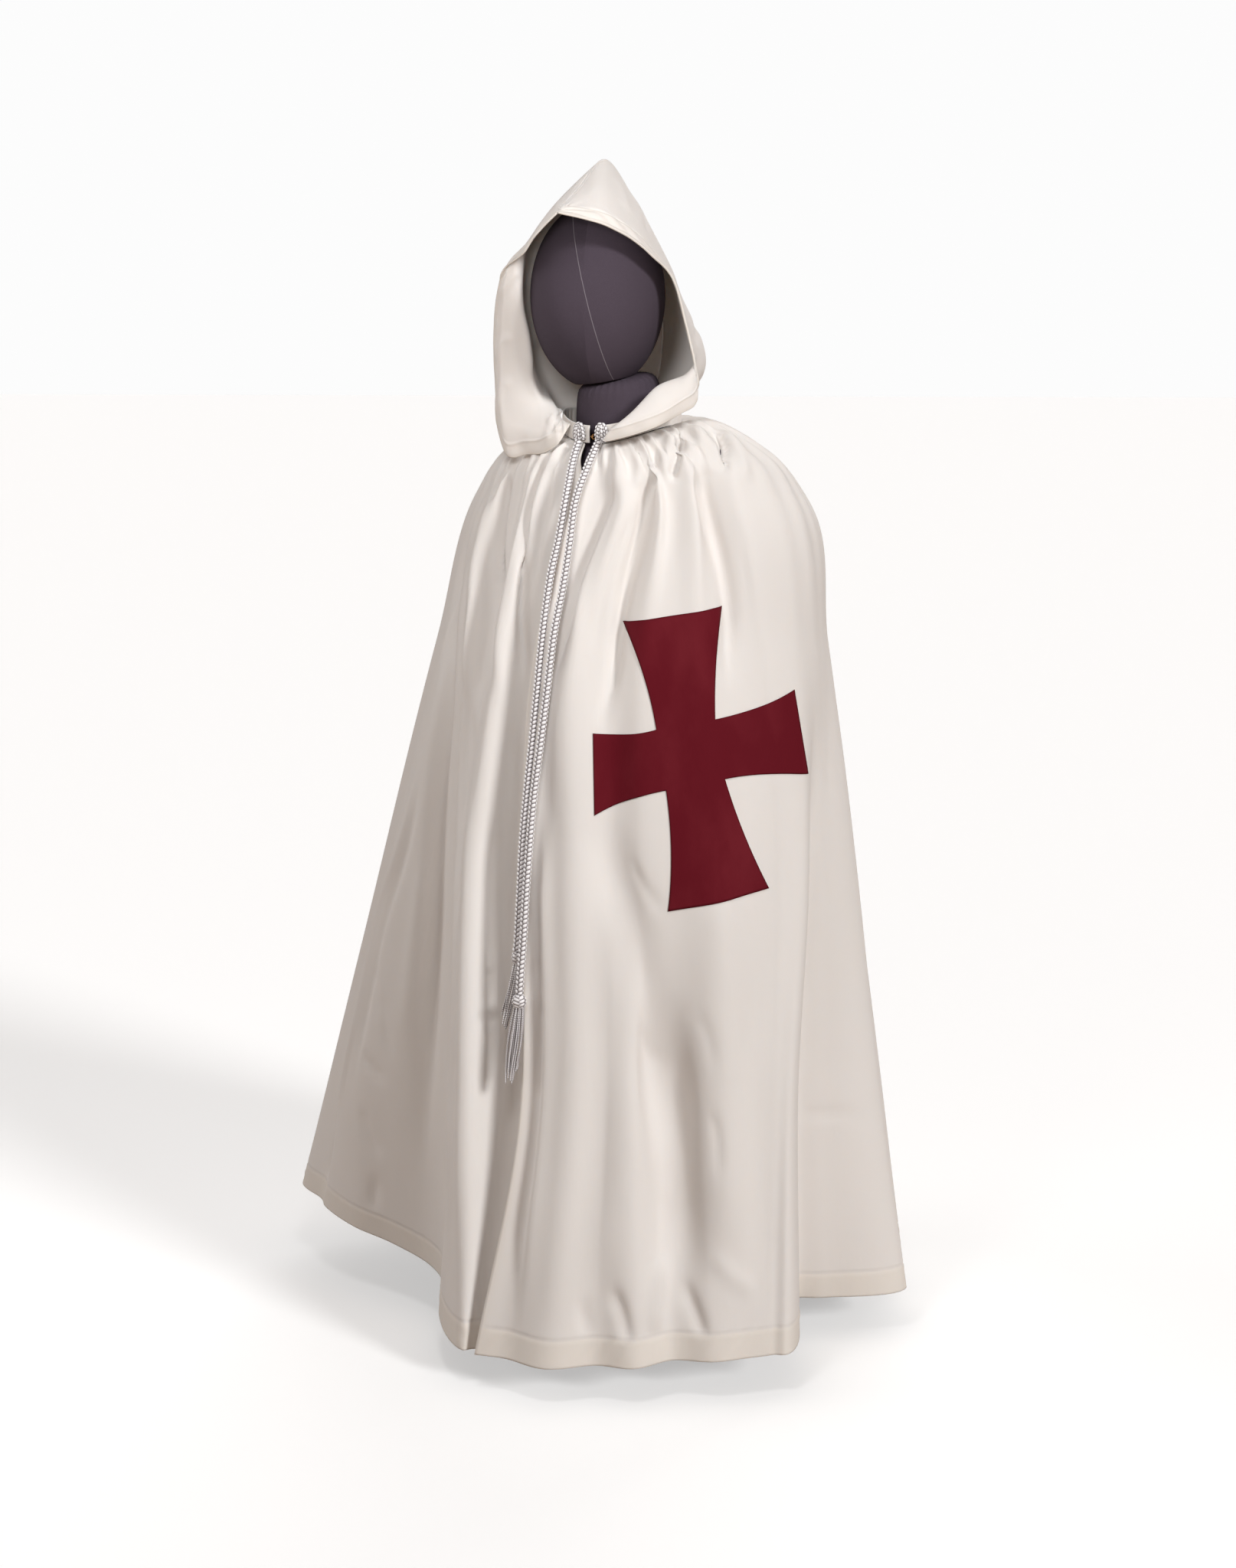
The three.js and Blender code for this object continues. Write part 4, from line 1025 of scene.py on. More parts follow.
def plaited(strands: int, pitch: float) -> Relief:
    """The height, from 0 to 1, of a braid's or a rope's strands.

    Args:
        strands: columns of lumps round it.
        pitch: distance between the lumps.

    Returns:
        A function of the turn round it and the way along it.
    """

    def height(turn: np.ndarray, way: np.ndarray) -> np.ndarray:
        """Height at a turn in radians and a way in millimetres."""
        column = turn * strands / (2 * math.pi)
        parity = np.floor(column) % 2
        across = column - np.floor(column) - 0.5
        slant = np.where(parity > 0, 0.45, -0.45)
        lump = np.abs(np.sin(math.pi * (way / pitch + slant * across + 0.5 * parity)))
        return lump * np.cos(math.pi * across) ** 0.35

    return height


def round_piece(
    work: bmesh.types.BMesh,
    path: np.ndarray,
    radius: np.ndarray,
    sides: int,
    relief: Optional[Relief],
    share: float,
) -> None:
    """Adds a round cord with closed ends to a bmesh.

    Args:
        work: the bmesh.
        path: its middle line, in millimetres.
        radius: its radius at each point.
        sides: points round it.
        relief: the height of its strands, or None where it is plain.
        share: the part of the radius that the strands take.
    """
    first, second = frames_along(path)
    turn = np.linspace(0, 2 * math.pi, sides + 1)
    way = np.concatenate([[0], np.cumsum(np.linalg.norm(np.diff(path, axis=0), axis=1))])
    turns, ways = np.meshgrid(turn[:-1], way)
    height = relief(turns, ways) if relief is not None else np.ones_like(ways)
    height = np.concatenate([height, height[:, :1]], axis=1)
    reach = radius[:, None] * (1 - share + share * height)
    ring = np.cos(turn)[None, :, None] * first[:, None] + np.sin(turn)[None, :, None] * second[:, None]
    lattice = path[:, None] + ring * reach[..., None]
    lattice = np.concatenate([path[:1, None] + 0 * ring[:1], lattice, path[-1:, None] + 0 * ring[:1]])
    height = np.concatenate([height[:1], height, height[-1:]])
    spread(work, lattice, {"raised": height}, turned=False)


def sealed(work: bmesh.types.BMesh) -> None:
    """Merges the doubles of a bmesh and points its faces outwards."""
    bmesh.ops.remove_doubles(work, verts=work.verts, dist=1e-6)
    bmesh.ops.recalc_face_normals(work, faces=work.faces)


DOUBLE_WALL = 2.4  # of the mantle and the hood, where the cloth is turned over
SINGLE_SHARE = 0.55  # of that wall, where it is a single layer
BAND_WALL = 1.8
CROSS_WALL = 0.8


def thicken(piece: bpy.types.Object, thickness: float, offset: float, group: Optional[str] = None) -> None:
    """Gives a shell its wall, thicker where a group says so.

    Args:
        piece: the shell.
        thickness: the wall where the group is full, in millimetres.
        offset: 1 to grow outwards and -1 inwards.
        group: the attribute that holds where the cloth is double.
    """
    wall = piece.modifiers.new("wall", "SOLIDIFY")
    wall.thickness = thickness * MM
    wall.offset = offset
    wall.use_even_offset = False
    if group is not None:
        layer = piece.data.attributes[group].data
        held = piece.vertex_groups.new(name="double")
        for i, item in enumerate(layer):
            held.add([i], item.value, "REPLACE")
        wall.vertex_group = "double"
        wall.thickness_vertex_group = SINGLE_SHARE


# ---------------------------------------------------------------- the mantle
@dataclass
class MantleHalf:
    """One half of the mantle, from the front edge to the centre back seam.

    Attributes:
        name: the node that it stands for.
        folds: its folds, from the front.
        side: 1 for the wearer's left and -1 for the right.
        seam_start: bearing at which its neck seam begins.
        creases: its creases.
        hem_start: way down at which the hem is stitched.
        hem_end: way down at which the cloth ends.
        seam_gap: how far it is drawn away from the other half.
        columns_per_fold: columns of points from one fold to the next.
    """

    name: str
    folds: Sequence[Fold]
    side: int
    seam_start: float
    creases: Sequence[Crease]
    hem_start: float = 1145.0
    hem_end: float = 1175.0
    seam_gap: float = 0.18
    columns_per_fold: int = 10

    def ways(self) -> np.ndarray:
        """Ways down of the rows, closer at the neck and the hem."""
        neck = np.arange(0, 200, 5.0)
        body = np.linspace(200, self.hem_start - 8, 108)
        hem = np.linspace(self.hem_start - 5, self.hem_end, 17)
        return np.concatenate([neck, body, hem])

    def surface(self, at: np.ndarray, ways: np.ndarray) -> np.ndarray:
        """The cloth without its creases.

        Args:
            at: fold numbers of the columns.
            ways: ways down of the rows.

        Returns:
            A lattice of points in millimetres.
        """
        last = len(self.folds) - 1
        seam = self.seam_start + (180 - self.seam_start) * at / last
        layers = []
        for ring in RINGS:
            table = ring.name if ring.follow == 1 else "shoulder"
            places = np.array([getattr(fold, table) for fold in self.folds], float)
            place = smooth(places, at)
            bearing = seam + (place[:, 0] - seam) * ring.follow
            stand = place[:, 1] * ring.follow
            wave = ring.ripple * np.cos(2 * math.pi * at)
            out = 0.6 * stand + 0.35 * wave if ring.lying else stand + wave
            up = 0.3 * stand + 0.9 * wave if ring.lying else 0 * wave
            layers.append(ring.points(self.side * bearing, out, up))
        return self.hang(np.stack(layers), ways)

    def hang(self, layers: np.ndarray, ways: np.ndarray) -> np.ndarray:
        """Joins the rings' points with smooth threads."""
        knots = np.array([ring.way for ring in RINGS])
        span = np.diff(knots)
        slope = np.diff(layers, axis=0) / span[:, None, None]
        lean = np.empty_like(layers)
        lean[0] = slope[0]
        lean[-1] = slope[-1]
        before = span[:-1, None, None]
        after = span[1:, None, None]
        lean[1:-1] = (slope[:-1] * after + slope[1:] * before) / (before + after)
        rows = []
        for way in ways:
            i = int(np.clip(np.searchsorted(knots, way) - 1, 0, len(span) - 1))
            k = (way - knots[i]) / span[i]
            row = layers[i] * (2 * k**3 - 3 * k**2 + 1) + layers[i + 1] * (3 * k**2 - 2 * k**3)
            row = row + lean[i] * span[i] * (k**3 - 2 * k**2 + k) + lean[i + 1] * span[i] * (k**3 - k**2)
            rows.append(row)
        return np.stack(rows)

    def lattice(self) -> tuple[np.ndarray, np.ndarray]:
        """The creased cloth, and where it is double."""
        at = np.linspace(0, len(self.folds) - 1, (len(self.folds) - 1) * self.columns_per_fold + 1)
        ways = self.ways()
        plain = self.surface(at, ways)
        plain[..., 0] += self.side * self.seam_gap
        outward = normals_of(plain) * -self.side
        along = lengths_of(plain)[..., 0]
        fold, way = np.meshgrid(at, ways)
        inner = between(fold, 0, 0.5) * (1 - between(fold, at[-1] - 0.5, at[-1]))
        gathers = np.cos(2 * math.pi * 2 * fold + 1.3 * np.sin(fold * 1.7)) * between(way, 0, 14)
        gathers = gathers * (1 - between(way, 26, 120)) * 0.9
        long_ripple = np.sin(2.3 * fold + 0.006 * way) * np.sin(0.011 * way + 0.9 * fold)
        long_ripple = long_ripple * between(way, 60, 220)
        hem = between(way, self.hem_start - 1, self.hem_start + 1)
        stitch = bell(way - self.hem_start, 1.6)
        pucker = np.sin(along / 3.4 + 0.22 * (way - self.hem_start)) * (0.5 + 0.5 * np.sin(along / 23.0))
        relief = gathers + 0.5 * long_ripple - 1.1 * stitch
        relief = relief + 0.7 * pucker * bell(way - self.hem_start - 6, 13)
        relief = relief - pressed(plain, at, ways, self.creases)
        edge = 1 - between(fold, 0.0, 0.35)
        double = np.maximum(hem, 0.7 * edge * (fold < 0.35))
        return plain + outward * (relief * inner)[..., None], double

    def build(self) -> tuple[bpy.types.Object, np.ndarray]:
        """Makes the piece.

        Returns:
            The piece and its lattice.
        """
        lattice, double = self.lattice()
        work = bmesh.new()
        spread(work, lattice, {"double": double}, turned=self.side > 0)
        piece = keep(work, self.name + "_cloth", Finish.CLOTH)
        thicken(piece, DOUBLE_WALL, -1, "double")
        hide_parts(self.name)
        area = area_of(lattice) * MM * MM
        LOG.info("%s: %.2f m2 of cloth", self.name, area)
        return piece, lattice


# ---------------------------------------------------------------- the cross
WELL_INSIDE = 30.0  # stands for the edge's distance in the middle of the cross
RAY_START = 600  # how far before the cloth its points are looked for


@dataclass
class Cross:
    """The red cross, with arms that widen in a curve, sewn to the wearer's left front.

    Attributes:
        up: length of the upper arm from the middle, and so on for the others.
        end_up: width of the upper arm at its end, and so on for the others.
        neck: width where the arms meet.
        hollow: how far their sides are drawn in.
        skew: how far the inner arm's end is cut aslant.
        droop: how far the inner arm's end hangs.
        slack: how far the middle is drawn aside and up.
    """

    up: float = 170.0
    down: float = 171.0
    inner: float = 125.5
    outer: float = 133.5
    end_up: float = 122.0
    end_down: float = 124.0
    end_inner: float = 95.0
    end_outer: float = 105.0
    neck: float = 72.0
    hollow: float = 8.0
    skew: float = 6.6
    droop: float = 2.7
    slack: Pair = (-5.5, 4.0)
    tilt: float = 9.2
    across: float = 67.7
    height: float = 728.7
    bearing: float = 28.0
    lift: float = 0.32
    rim: float = 1.8

    def arm(
        self,
        direction: Pair,
        length: float,
        end: float,
        steps: int = 44,
        breadth: int = 30,
    ) -> np.ndarray:
        """Flat points of an arm and how far each lies from its edge.

        Args:
            direction: where the arm points.
            length: from the middle to its end.
            end: its width there.
            steps: rows along it.
            breadth: columns across it.

        Returns:
            Rows of (across, up, distance from the edge).
        """
        half = self.neck / 2
        waist = (half + end / 2) / 2 - self.hollow
        t = np.linspace(0, 1, steps)[:, None]
        out = half * (1 - t) ** 2 + 2 * t * (1 - t) * (half + length) / 2 + t * t * length
        wide = half * (1 - t) ** 2 + 2 * t * (1 - t) * waist + t * t * end / 2
        side = self.columns(breadth) * wide
        gap = np.minimum(wide - np.abs(side), length - out)
        x, y = direction
        inner = max(-x, 0.0)
        out = out + inner * self.skew * side / (end / 2) * t
        side = side + inner * self.droop * t**2
        across = x * out - y * side + self.slack[0] * (1 - t) ** 1.5
        up = y * out + x * side + self.slack[1] * (1 - t) ** 1.5
        return np.stack([across, up, gap], -1)

    def columns(self, breadth: int) -> np.ndarray:
        """Places across an arm, from -1 to 1, closer at its edges."""
        even = np.linspace(-1, 1, breadth + 1)
        return (np.sin(even * math.pi / 2) * 0.35 + even * 0.65)[None, :]

    def middle(self, breadth: int = 30) -> np.ndarray:
        """Flat points of the square in the middle."""
        half = self.neck / 2
        line = self.columns(breadth)[0] * half
        x, y = np.meshgrid(line, line)
        return np.stack([x + self.slack[0], y + self.slack[1], np.full_like(x, WELL_INSIDE)], -1)

    def build(self, cloth: np.ndarray) -> bpy.types.Object:
        """Makes the cross on the mantle's left half.

        Args:
            cloth: that half's lattice, in millimetres.

        Returns:
            The piece.
        """
        rows, columns = cloth.shape[:2]
        points = [Vector(point) for point in cloth.reshape(-1, 3)]
        corners = [r * columns + c for r in range(rows - 1) for c in range(columns - 1)]
        quads = [(i, i + 1, i + columns + 1, i + columns) for i in corners]
        tree = BVHTree.FromPolygons(points, quads)
        parts = [
            self.middle(),
            self.arm((0, 1), self.up, self.end_up),
            self.arm((-1, 0), self.inner, self.end_inner),
            self.arm((0, -1), self.down, self.end_down),
            self.arm((1, 0), self.outer, self.end_outer),
        ]
        work = bmesh.new()
        area = 0.0
        for part in parts:
            lattice = self.laid(part, tree)
            area += area_of(lattice) * MM * MM
            spread(work, lattice, {"rim": 1 - between(part[..., 2], self.rim * 0.5, self.rim)}, turned=False)
        sealed(work)
        self.face_out(work)
        piece = keep(work, "cross_cloth", Finish.RED)
        thicken(piece, CROSS_WALL, 1)
        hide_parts("cross")
        return piece

    def laid(self, part: np.ndarray, tree: BVHTree) -> np.ndarray:
        """Lays flat points on the cloth along the cross's own axis."""
        lean = math.radians(self.tilt)
        turn = math.radians(self.bearing)
        x = part[..., 0] * math.cos(lean) - part[..., 1] * math.sin(lean) + self.across
        z = part[..., 0] * math.sin(lean) + part[..., 1] * math.cos(lean) + self.height
        out = Vector((math.sin(turn), -math.cos(turn), 0))
        lattice = np.empty(part.shape)
        for place in np.ndindex(part.shape[:2]):
            start = Vector((x[place] * math.cos(turn), x[place] * math.sin(turn), z[place])) + out * RAY_START
            hit, normal, _, _ = tree.ray_cast(start, -out)
            if normal.dot(out) < 0:
                normal = -normal
            lattice[place] = hit + normal * self.lift
        return lattice

    def face_out(self, work: bmesh.types.BMesh) -> None:
        """Turns the faces towards the front if they look at the cloth."""
        out = Vector((math.sin(math.radians(self.bearing)), -math.cos(math.radians(self.bearing)), 0))
        if sum(face.normal.dot(out) for face in work.faces) < 0:
            bmesh.ops.reverse_faces(work, faces=work.faces)


# ---------------------------------------------------------------- neckband and hood
BAND_OUTER = 77.0
BAND_INNER = 74.6
BAND_LIFT = 0.9
BAND_HEIGHT = 22.0
BAND_END = 4.2
HOOD_LAP = 2.0


def band_points(radius: np.ndarray, bearing: np.ndarray, lift: np.ndarray) -> np.ndarray:
    """Points at a radius round the neck, at a lift above the neck seam."""
    return RINGS[0].points(bearing, radius - RINGS[0].front, lift)


@dataclass
class Neckband:
    """The narrow band that hood and mantle are sewn to, open at the throat."""

    columns: int = 240
    rows: int = 12

    def build(self) -> bpy.types.Object:
        """Makes the band, a little gathered, with a stitched line along each edge."""
        bearing = np.linspace(BAND_END, 360 - BAND_END, self.columns + 1)
        rise = np.linspace(0, 1, self.rows + 1)
        turn, up = np.meshgrid(bearing, rise)
        ripple = 0.35 * np.sin(np.radians(turn) * 46) * between(up, 0, 0.3) * (1 - between(up, 0.7, 1))
        line = bell(up - 0.12, 0.05) + bell(up - 0.88, 0.05)
        radius = BAND_OUTER - 0.5 + ripple - 0.3 * line
        lattice = band_points(radius, turn, BAND_LIFT + up * BAND_HEIGHT)
        work = bmesh.new()
        spread(work, lattice, {"double": np.full(turn.shape, 0.35)}, turned=False)
        piece = keep(work, "neckband_cloth", Finish.CLOTH)
        thicken(piece, BAND_WALL, -1)
        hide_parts("neckband")
        return piece


@dataclass
class HoodHalf:
    """One half of the hood.

    Attributes:
        name: the node that it stands for.
        sections: its sections from the neck up.
        bearings: bearings at which its parts leave the neckband.
        ease: their distances from the band.
        side: 1 for the wearer's left and -1 for the right.
        creases: its creases, by part number and hundredths of a section.
    """

    name: str
    sections: Sequence[Section]
    bearings: Sequence[float]
    ease: Sequence[float]
    side: int
    creases: Sequence[Crease]
    seam_gap: float = 0.02
    casing: float = 18.0
    columns: int = 120
    rows: int = 168

    def surface(self, at: np.ndarray, up: np.ndarray) -> np.ndarray:
        """The side towards the head, as a lattice of points."""
        lift = np.full(len(self.bearings), BAND_LIFT + BAND_HEIGHT - HOOD_LAP)
        bearing = self.side * np.array(self.bearings, float)
        radius = BAND_OUTER + np.array(self.ease, float)
        foot = band_points(radius, bearing, lift)
        rows = np.stack([foot] + [np.array(section.row(), float) for section in self.sections])
        crossed = smooth(rows.transpose(1, 0, 2), at)
        plain = smooth(crossed.transpose(1, 0, 2), up)
        exact = band_points(smooth(radius, at), smooth(bearing, at), np.full(at.shape, lift[0]))
        settle = np.clip(1 - up, 0, 1)[:, None, None]
        return plain + settle * (exact - crossed[:, 0])[None]

    def build(self) -> bpy.types.Object:
        """Makes the piece, with its stitched casing, its centre seam and its soft folds."""
        at = np.linspace(0, 5, self.columns + 1)
        up = np.linspace(0, len(self.sections), self.rows + 1)
        plain = self.surface(at, up)
        plain[..., 0] += self.side * self.seam_gap
        outward = normals_of(plain) * -self.side
        along = lengths_of(plain)
        from_edge = along[:, -1:, 0] - along[..., 0]
        part, section = np.meshgrid(at, up)
        held = between(section, 0, 0.5) * between(part, 0, 0.25)
        stitch = bell(from_edge - self.casing, 1.2)
        wrinkle = np.sin(along[..., 1] / 5.0 + from_edge * 0.09) * (0.6 + 0.4 * np.sin(along[..., 1] / 31.0))
        pucker = wrinkle * bell(from_edge - self.casing + 5, 9) * 0.9
        roll = bell(from_edge, 3.2) * 1.1
        seam = bell(along[..., 0] - 4, 1.4) * 0.5
        relief = (pucker - 1.0 * stitch + roll) * held - seam * between(section, 0.2, 0.8)
        relief = relief - pressed(plain, at, up * 100, self.creases) * held
        lattice = plain + outward * relief[..., None]
        band = 1 - between(from_edge, self.casing - 1, self.casing + 1)
        double = 0.45 * band + 0.55 * (1 - between(from_edge, 2, 5))
        work = bmesh.new()
        spread(work, lattice, {"double": double}, turned=self.side > 0)
        piece = keep(work, self.name + "_cloth", Finish.CLOTH)
        thicken(piece, DOUBLE_WALL, 1, "double")
        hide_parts(self.name)
        area = area_of(lattice) * MM * MM
        LOG.info("%s: %.3f m2 of cloth", self.name, area)
        return piece


# ---------------------------------------------------------------- closure, cords and tassels
CORD_RADIUS = 4.0
CORD_SWELL = 1.3  # by which the crowns of the plait stand out past the cord's mean radius
BRAID = plaited(4, 5.3)
GOLDEN_ANGLE = 2.399963


@dataclass
class Frog:
    """A wound knot of cord on the neckband, which a hanging cord leaves."""

    name: str
    bearing: float
    mirror: int
    path: tuple[Point, ...] = (
        (-5, -9, -1), (-6, -3, 0.5), (-5, 5, 1.5), (-2.5, 9.4, 1.0), (2.5, 9.2, 1.2), (5.4, 4, 1.6),
        (6.4, -3, 1.4), (5.2, -9, 0.6), (1.6, -9.4, 0.2), (0.4, -3, 2.4), (0.2, 3, 2.6), (-1, 8, 0.6),
    )
    radius: float = 3.5
    stand: float = 4.2
    rise: float = 13.5

    def build(self) -> bpy.types.Object:
        """Makes the knot."""
        line = evenly([(self.mirror * x, y, z) for x, y, z in self.path], 0.8)
        turn = math.radians(self.bearing)
        out = np.array([math.sin(turn), -math.cos(turn), 0.0])
        across = np.array([math.cos(turn), math.sin(turn), 0.0])
        bearing = np.array([self.bearing])
        centre = band_points(np.array([BAND_OUTER + self.stand]), bearing, np.array([self.rise]))[0]
        path = centre + line[:, :1] * across + line[:, 1:2] * np.array([0, 0, 1.0]) + line[:, 2:] * out
        fat = np.full(len(path), self.radius)
        fat[0] = fat[-1] = 0.7 * self.radius
        work = bmesh.new()
        round_piece(work, path, fat, 20, plaited(4, 4.6), 0.34)
        sealed(work)
        piece = keep(work, self.name + "_knot", Finish.RAYON)
        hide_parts(self.name)
        return piece


@dataclass
class HookAndEye:
    """The bent brass wire that holds the ends of the neckband together."""

    wire: float = 0.75
    rise: float = 9.0

    def build(self) -> bpy.types.Object:
        """Makes the eye and the hook through it."""
        middle = np.array([(BAND_INNER + BAND_OUTER) / 2])
        centre = band_points(middle, np.array([0.0]), np.array([self.rise]))[0]
        ring = [(0.6 + 2.9 * math.cos(a), 0, 2.9 * math.sin(a)) for a in np.linspace(0, 2 * math.pi, 13)]
        hook = [(-4.6, 0, 0), (-2.6, 0, 0.2), (-0.9, -0.7, 1.4), (0.1, -1.0, 0.2), (-0.9, -0.8, -1.2)]
        work = bmesh.new()
        for points in (ring, hook):
            path = centre + evenly(points, 0.4)
            round_piece(work, path, np.full(len(path), self.wire), 10, None, 0)
        sealed(work)
        piece = keep(work, "hook_and_eye_wire", Finish.BRASS)
        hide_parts("hook_and_eye")
        return piece


@dataclass
class Tassel:
    """A bound head with crimped strands that hang from it.

    Attributes:
        width: of the head, and so on in millimetres.
        lean: how far the strands' tips hang aside.
        slope: how far they come forward for their length, to lie on the cloth.
        belly: how far they stand apart halfway down.
    """

    name: str
    top: Point
    width: float
    height: float
    length: float
    lean: float
    slope: float
    belly: float
    strands: int = 18
    thread: float = 1.15

    def build(self) -> bpy.types.Object:
        """Makes the head and its strands as one piece."""
        work = bmesh.new()
        self.head(work)
        for i in range(self.strands):
            self.strand(work, i)
        sealed(work)
        piece = keep(work, self.name + "_threads", Finish.RAYON)
        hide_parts(self.name)
        return piece

    def head(self, work: bmesh.types.BMesh) -> None:
        """Adds the head, wound with cord in slanting turns."""
        x, y, z = self.top
        drop = np.linspace(0, 1, 26)
        path = np.stack([0 * drop + x, 0 * drop + y, z - 0.3 - drop * self.height], -1)
        full = self.width / 2 * np.clip(np.sin(math.pi * (0.12 + 0.78 * drop)), 0, 1) ** 0.55
        full[0] = 0.45 * self.width / 2
        round_piece(work, path, full * 0.96, 28, plaited(6, 4.4), 0.14)

    def strand(self, work: bmesh.types.BMesh, number: int) -> None:
        """Adds a strand, crimped like a fine braid."""
        x, y, z = self.top
        angle = number * GOLDEN_ANGLE
        ring = math.sqrt((number + 0.5) / self.strands)
        across = math.cos(angle) * ring
        deep = math.sin(angle) * ring
        root = np.array([x + across * 0.34 * self.width, y + deep * 0.2 * self.width, z - 0.8 * self.height])
        reach = self.length * (0.86 + 0.14 * math.sin(2.7 * number + 0.5))
        steps = np.linspace(0, 1, 7)
        sway = 0.9 * np.sin(steps * 5 + number * 1.3)
        swell = np.sin(math.pi * steps) * self.belly
        points = np.stack(
            [
                root[0] + across * (1.5 * steps + swell) + self.lean * steps**1.3 + sway * steps,
                root[1] + deep * (1.0 * steps + 0.4 * swell) - reach * self.slope * steps,
                root[2] - reach * steps,
            ],
            -1,
        )
        path = evenly([tuple(point) for point in points], 0.9)
        round_piece(work, path, np.full(len(path), self.thread), 6, plaited(2, 2.6), 0.32)


@dataclass
class HangingCord:
    """A braided cord that hangs from its knot, down the front, to its tassel."""

    name: str
    route: Sequence[Point]
    tassel: Tassel

    def build(self) -> bpy.types.Object:
        path = evenly(self.route, 0.66)
        work = bmesh.new()
        round_piece(work, path, np.full(len(path), CORD_RADIUS * CORD_SWELL), 28, BRAID, 0.36)
        sealed(work)
        piece = keep(work, self.name + "_braid", Finish.RAYON)
        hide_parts(self.name)
        end = self.tassel.build()
        return piece


# ---------------------------------------------------------------- dress form
FAR_FROM_SEAM = 9.0  # stands for the seam's distance where none shows
TEXTURE_RADIUS = 0.12  # that turns an angle round the form into a length of linen


@dataclass
class FormHead:
    """The smooth head of the form, covered in linen, with a seam down its face.

    Attributes:
        centre: its middle.
        half_width: half its width, and so on.
        turn: how far it looks to the wearer's left, in degrees.
        seam: the direction square to the seam's plane, through the middle.
        joint: a point of the plane where it meets the neck.
        slope: how that plane rises across and towards the back.
    """

    centre: Point = (-15.0, -85.0, 1293.0)
    half_width: float = 86.0
    half_depth: float = 97.0
    half_height: float = 121.0
    turn: float = 18.0
    seam: Point = (0.92, 0.32, 0.23)
    joint: Point = (3.0, -66.0, 1189.8)
    slope: Pair = (0.09, 0.18)

    def build(self) -> bpy.types.Object:
        """Makes the head, cut where it meets the neck."""
        around = np.linspace(0, 2 * math.pi, 181)
        down = np.linspace(0, math.pi, 121)
        turn, tip = np.meshgrid(around, down)
        x = np.sin(tip) * np.sin(turn)
        y = -np.sin(tip) * np.cos(turn)
        local = np.stack([x * self.half_width, y * self.half_depth, np.cos(tip) * self.half_height], -1)
        spin = math.radians(self.turn)
        lattice = np.stack(
            [
                local[..., 0] * math.cos(spin) - local[..., 1] * math.sin(spin),
                local[..., 0] * math.sin(spin) + local[..., 1] * math.cos(spin),
                local[..., 2],
            ],
            -1,
        )
        gap = lattice @ np.array(self.seam) / np.linalg.norm(self.seam)
        gap = np.where(lattice[..., 1] < 20, gap, FAR_FROM_SEAM)
        work = bmesh.new()
        spread(work, lattice + np.array(self.centre), {"from_seam": gap}, turned=False)
        sealed(work)
        across, deep = self.slope
        plane = Vector((-across, -deep, 1)).normalized()
        origin = Vector(self.joint) * MM
        geometry = work.verts[:] + work.edges[:] + work.faces[:]
        bmesh.ops.bisect_plane(work, geom=geometry, plane_co=origin, plane_no=plane, clear_inner=True)
        bmesh.ops.holes_fill(work, edges=[edge for edge in work.edges if edge.is_boundary])
        bmesh.ops.recalc_face_normals(work, faces=work.faces)
        piece = keep(work, "form_head_linen", Finish.LINEN)
        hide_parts("form_head")
        return piece


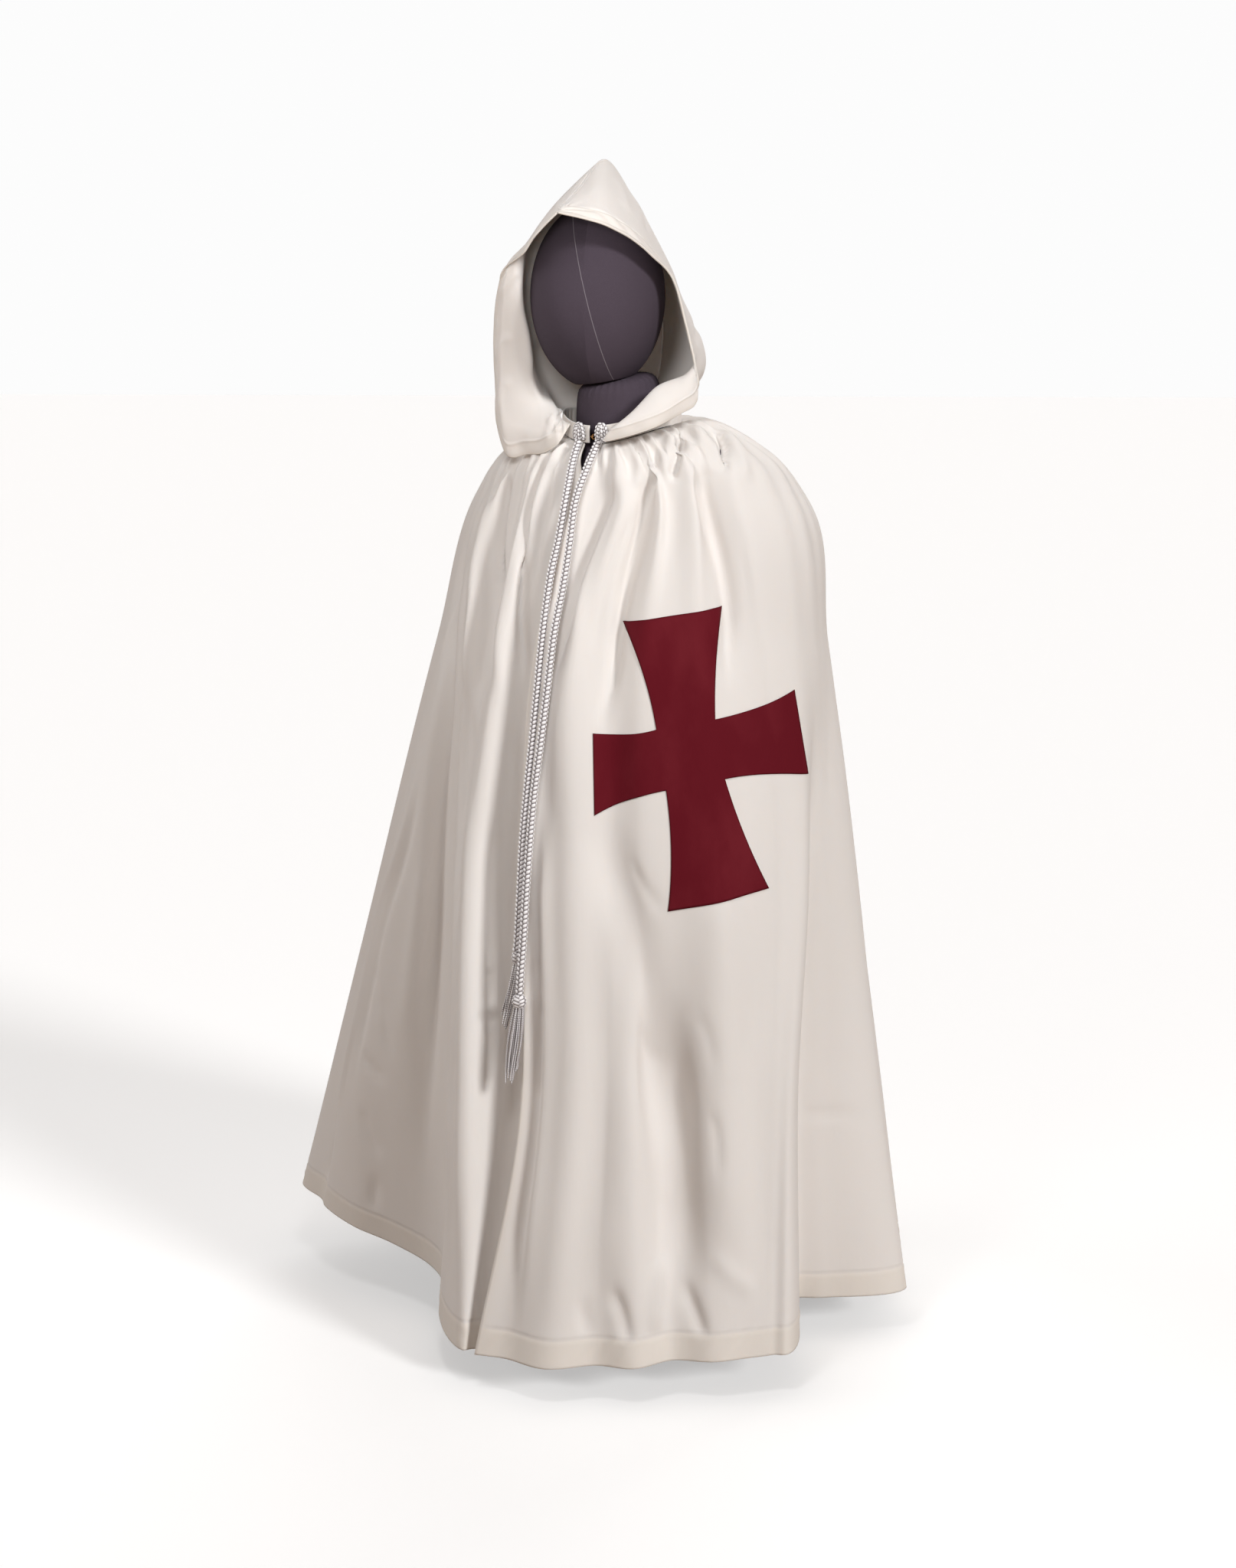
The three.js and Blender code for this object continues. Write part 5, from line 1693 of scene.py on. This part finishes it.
@dataclass
class FormBody:
    """The neck and the torso of the form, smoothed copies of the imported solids."""

    levels: int = 2

    def build(self) -> list[bpy.types.Object]:
        """Makes both and dresses the pole and the base."""
        made = [self.smoothed(name) for name in ("form_neck", "form_torso")]
        for name, finish in (("form_pole", Finish.STEEL), ("form_base", Finish.PAINT)):
            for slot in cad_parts[name].material_slots:
                slot.material = finish.material()
        return made

    def smoothed(self, name: str) -> bpy.types.Object:
        """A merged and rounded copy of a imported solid, with upright and level texture lengths."""
        work = bmesh.new()
        work.from_mesh(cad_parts[name].data)
        bmesh.ops.remove_doubles(work, verts=work.verts, dist=1e-5)
        for layer in list(work.loops.layers.uv.values()):
            work.loops.layers.uv.remove(layer)
        texture = work.loops.layers.uv.new("UVMap")
        far = work.verts.layers.float.new("from_seam")
        for vert in work.verts:
            vert[far] = FAR_FROM_SEAM
        for face in work.faces:
            for loop in face.loops:
                place = loop.vert.co
                angle = math.atan2(place.x, -place.y)
                loop[texture].uv = (angle * TEXTURE_RADIUS, place.z)
        piece = keep(work, name + "_linen", Finish.LINEN)
        rounding = piece.modifiers.new("rounding", "SUBSURF")
        rounding.levels = self.levels
        rounding.render_levels = self.levels
        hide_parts(name)
        return piece


# ---------------------------------------------------------------- the whole
def dress_mantle() -> None:
    """Makes the two halves of the mantle and the cross."""
    MantleHalf("mantle_right", FOLDS_RIGHT, -1, 9, CREASES_RIGHT).build()
    _, cloth = MantleHalf("mantle_left", FOLDS_LEFT, 1, 4, CREASES_LEFT).build()
    Cross().build(cloth)


def dress_hood() -> None:
    """Makes the neckband and the two halves of the hood."""
    Neckband().build()
    ease = (0.9, 0.9, 1.1, 2.2, 4, 4)
    left = (180, 135, 95, 58, 34, 22)
    right = (180, 135, 95, 62, 40, 27)
    HoodHalf("hood_left", HOOD_LEFT_SECTIONS, left, ease, 1, HOOD_CREASES_LEFT).build()
    HoodHalf("hood_right", HOOD_RIGHT_SECTIONS, right, ease, -1, HOOD_CREASES_RIGHT).build()


def dress_closure() -> None:
    """Makes the knots, the hook, the cords and their tassels."""
    end_left = CORD_LEFT[-1]
    end_right = CORD_RIGHT[-1]
    tassel_left = Tassel("tassel_left", end_left, 19, 16, 90, lean=-2, slope=0.2, belly=3.0)
    tassel_right = Tassel("tassel_right", end_right, 13, 15, 80, lean=-10, slope=0.15, belly=1.0, strands=12)
    HangingCord("cord_left", CORD_LEFT, tassel_left).build()
    HangingCord("cord_right", CORD_RIGHT, tassel_right).build()
    Frog("frog_left", 10, 1).build()
    Frog("frog_right", -13, -1).build()
    HookAndEye().build()


def main() -> None:
    """Builds the stage and every piece in order."""
    logging.basicConfig(level=logging.INFO, format="%(name)s: %(message)s")
    Studio().build()
    dress_closure()
    dress_mantle()
    dress_hood()
    FormHead().build()
    FormBody().build()


if __name__ == "__main__":
    main()
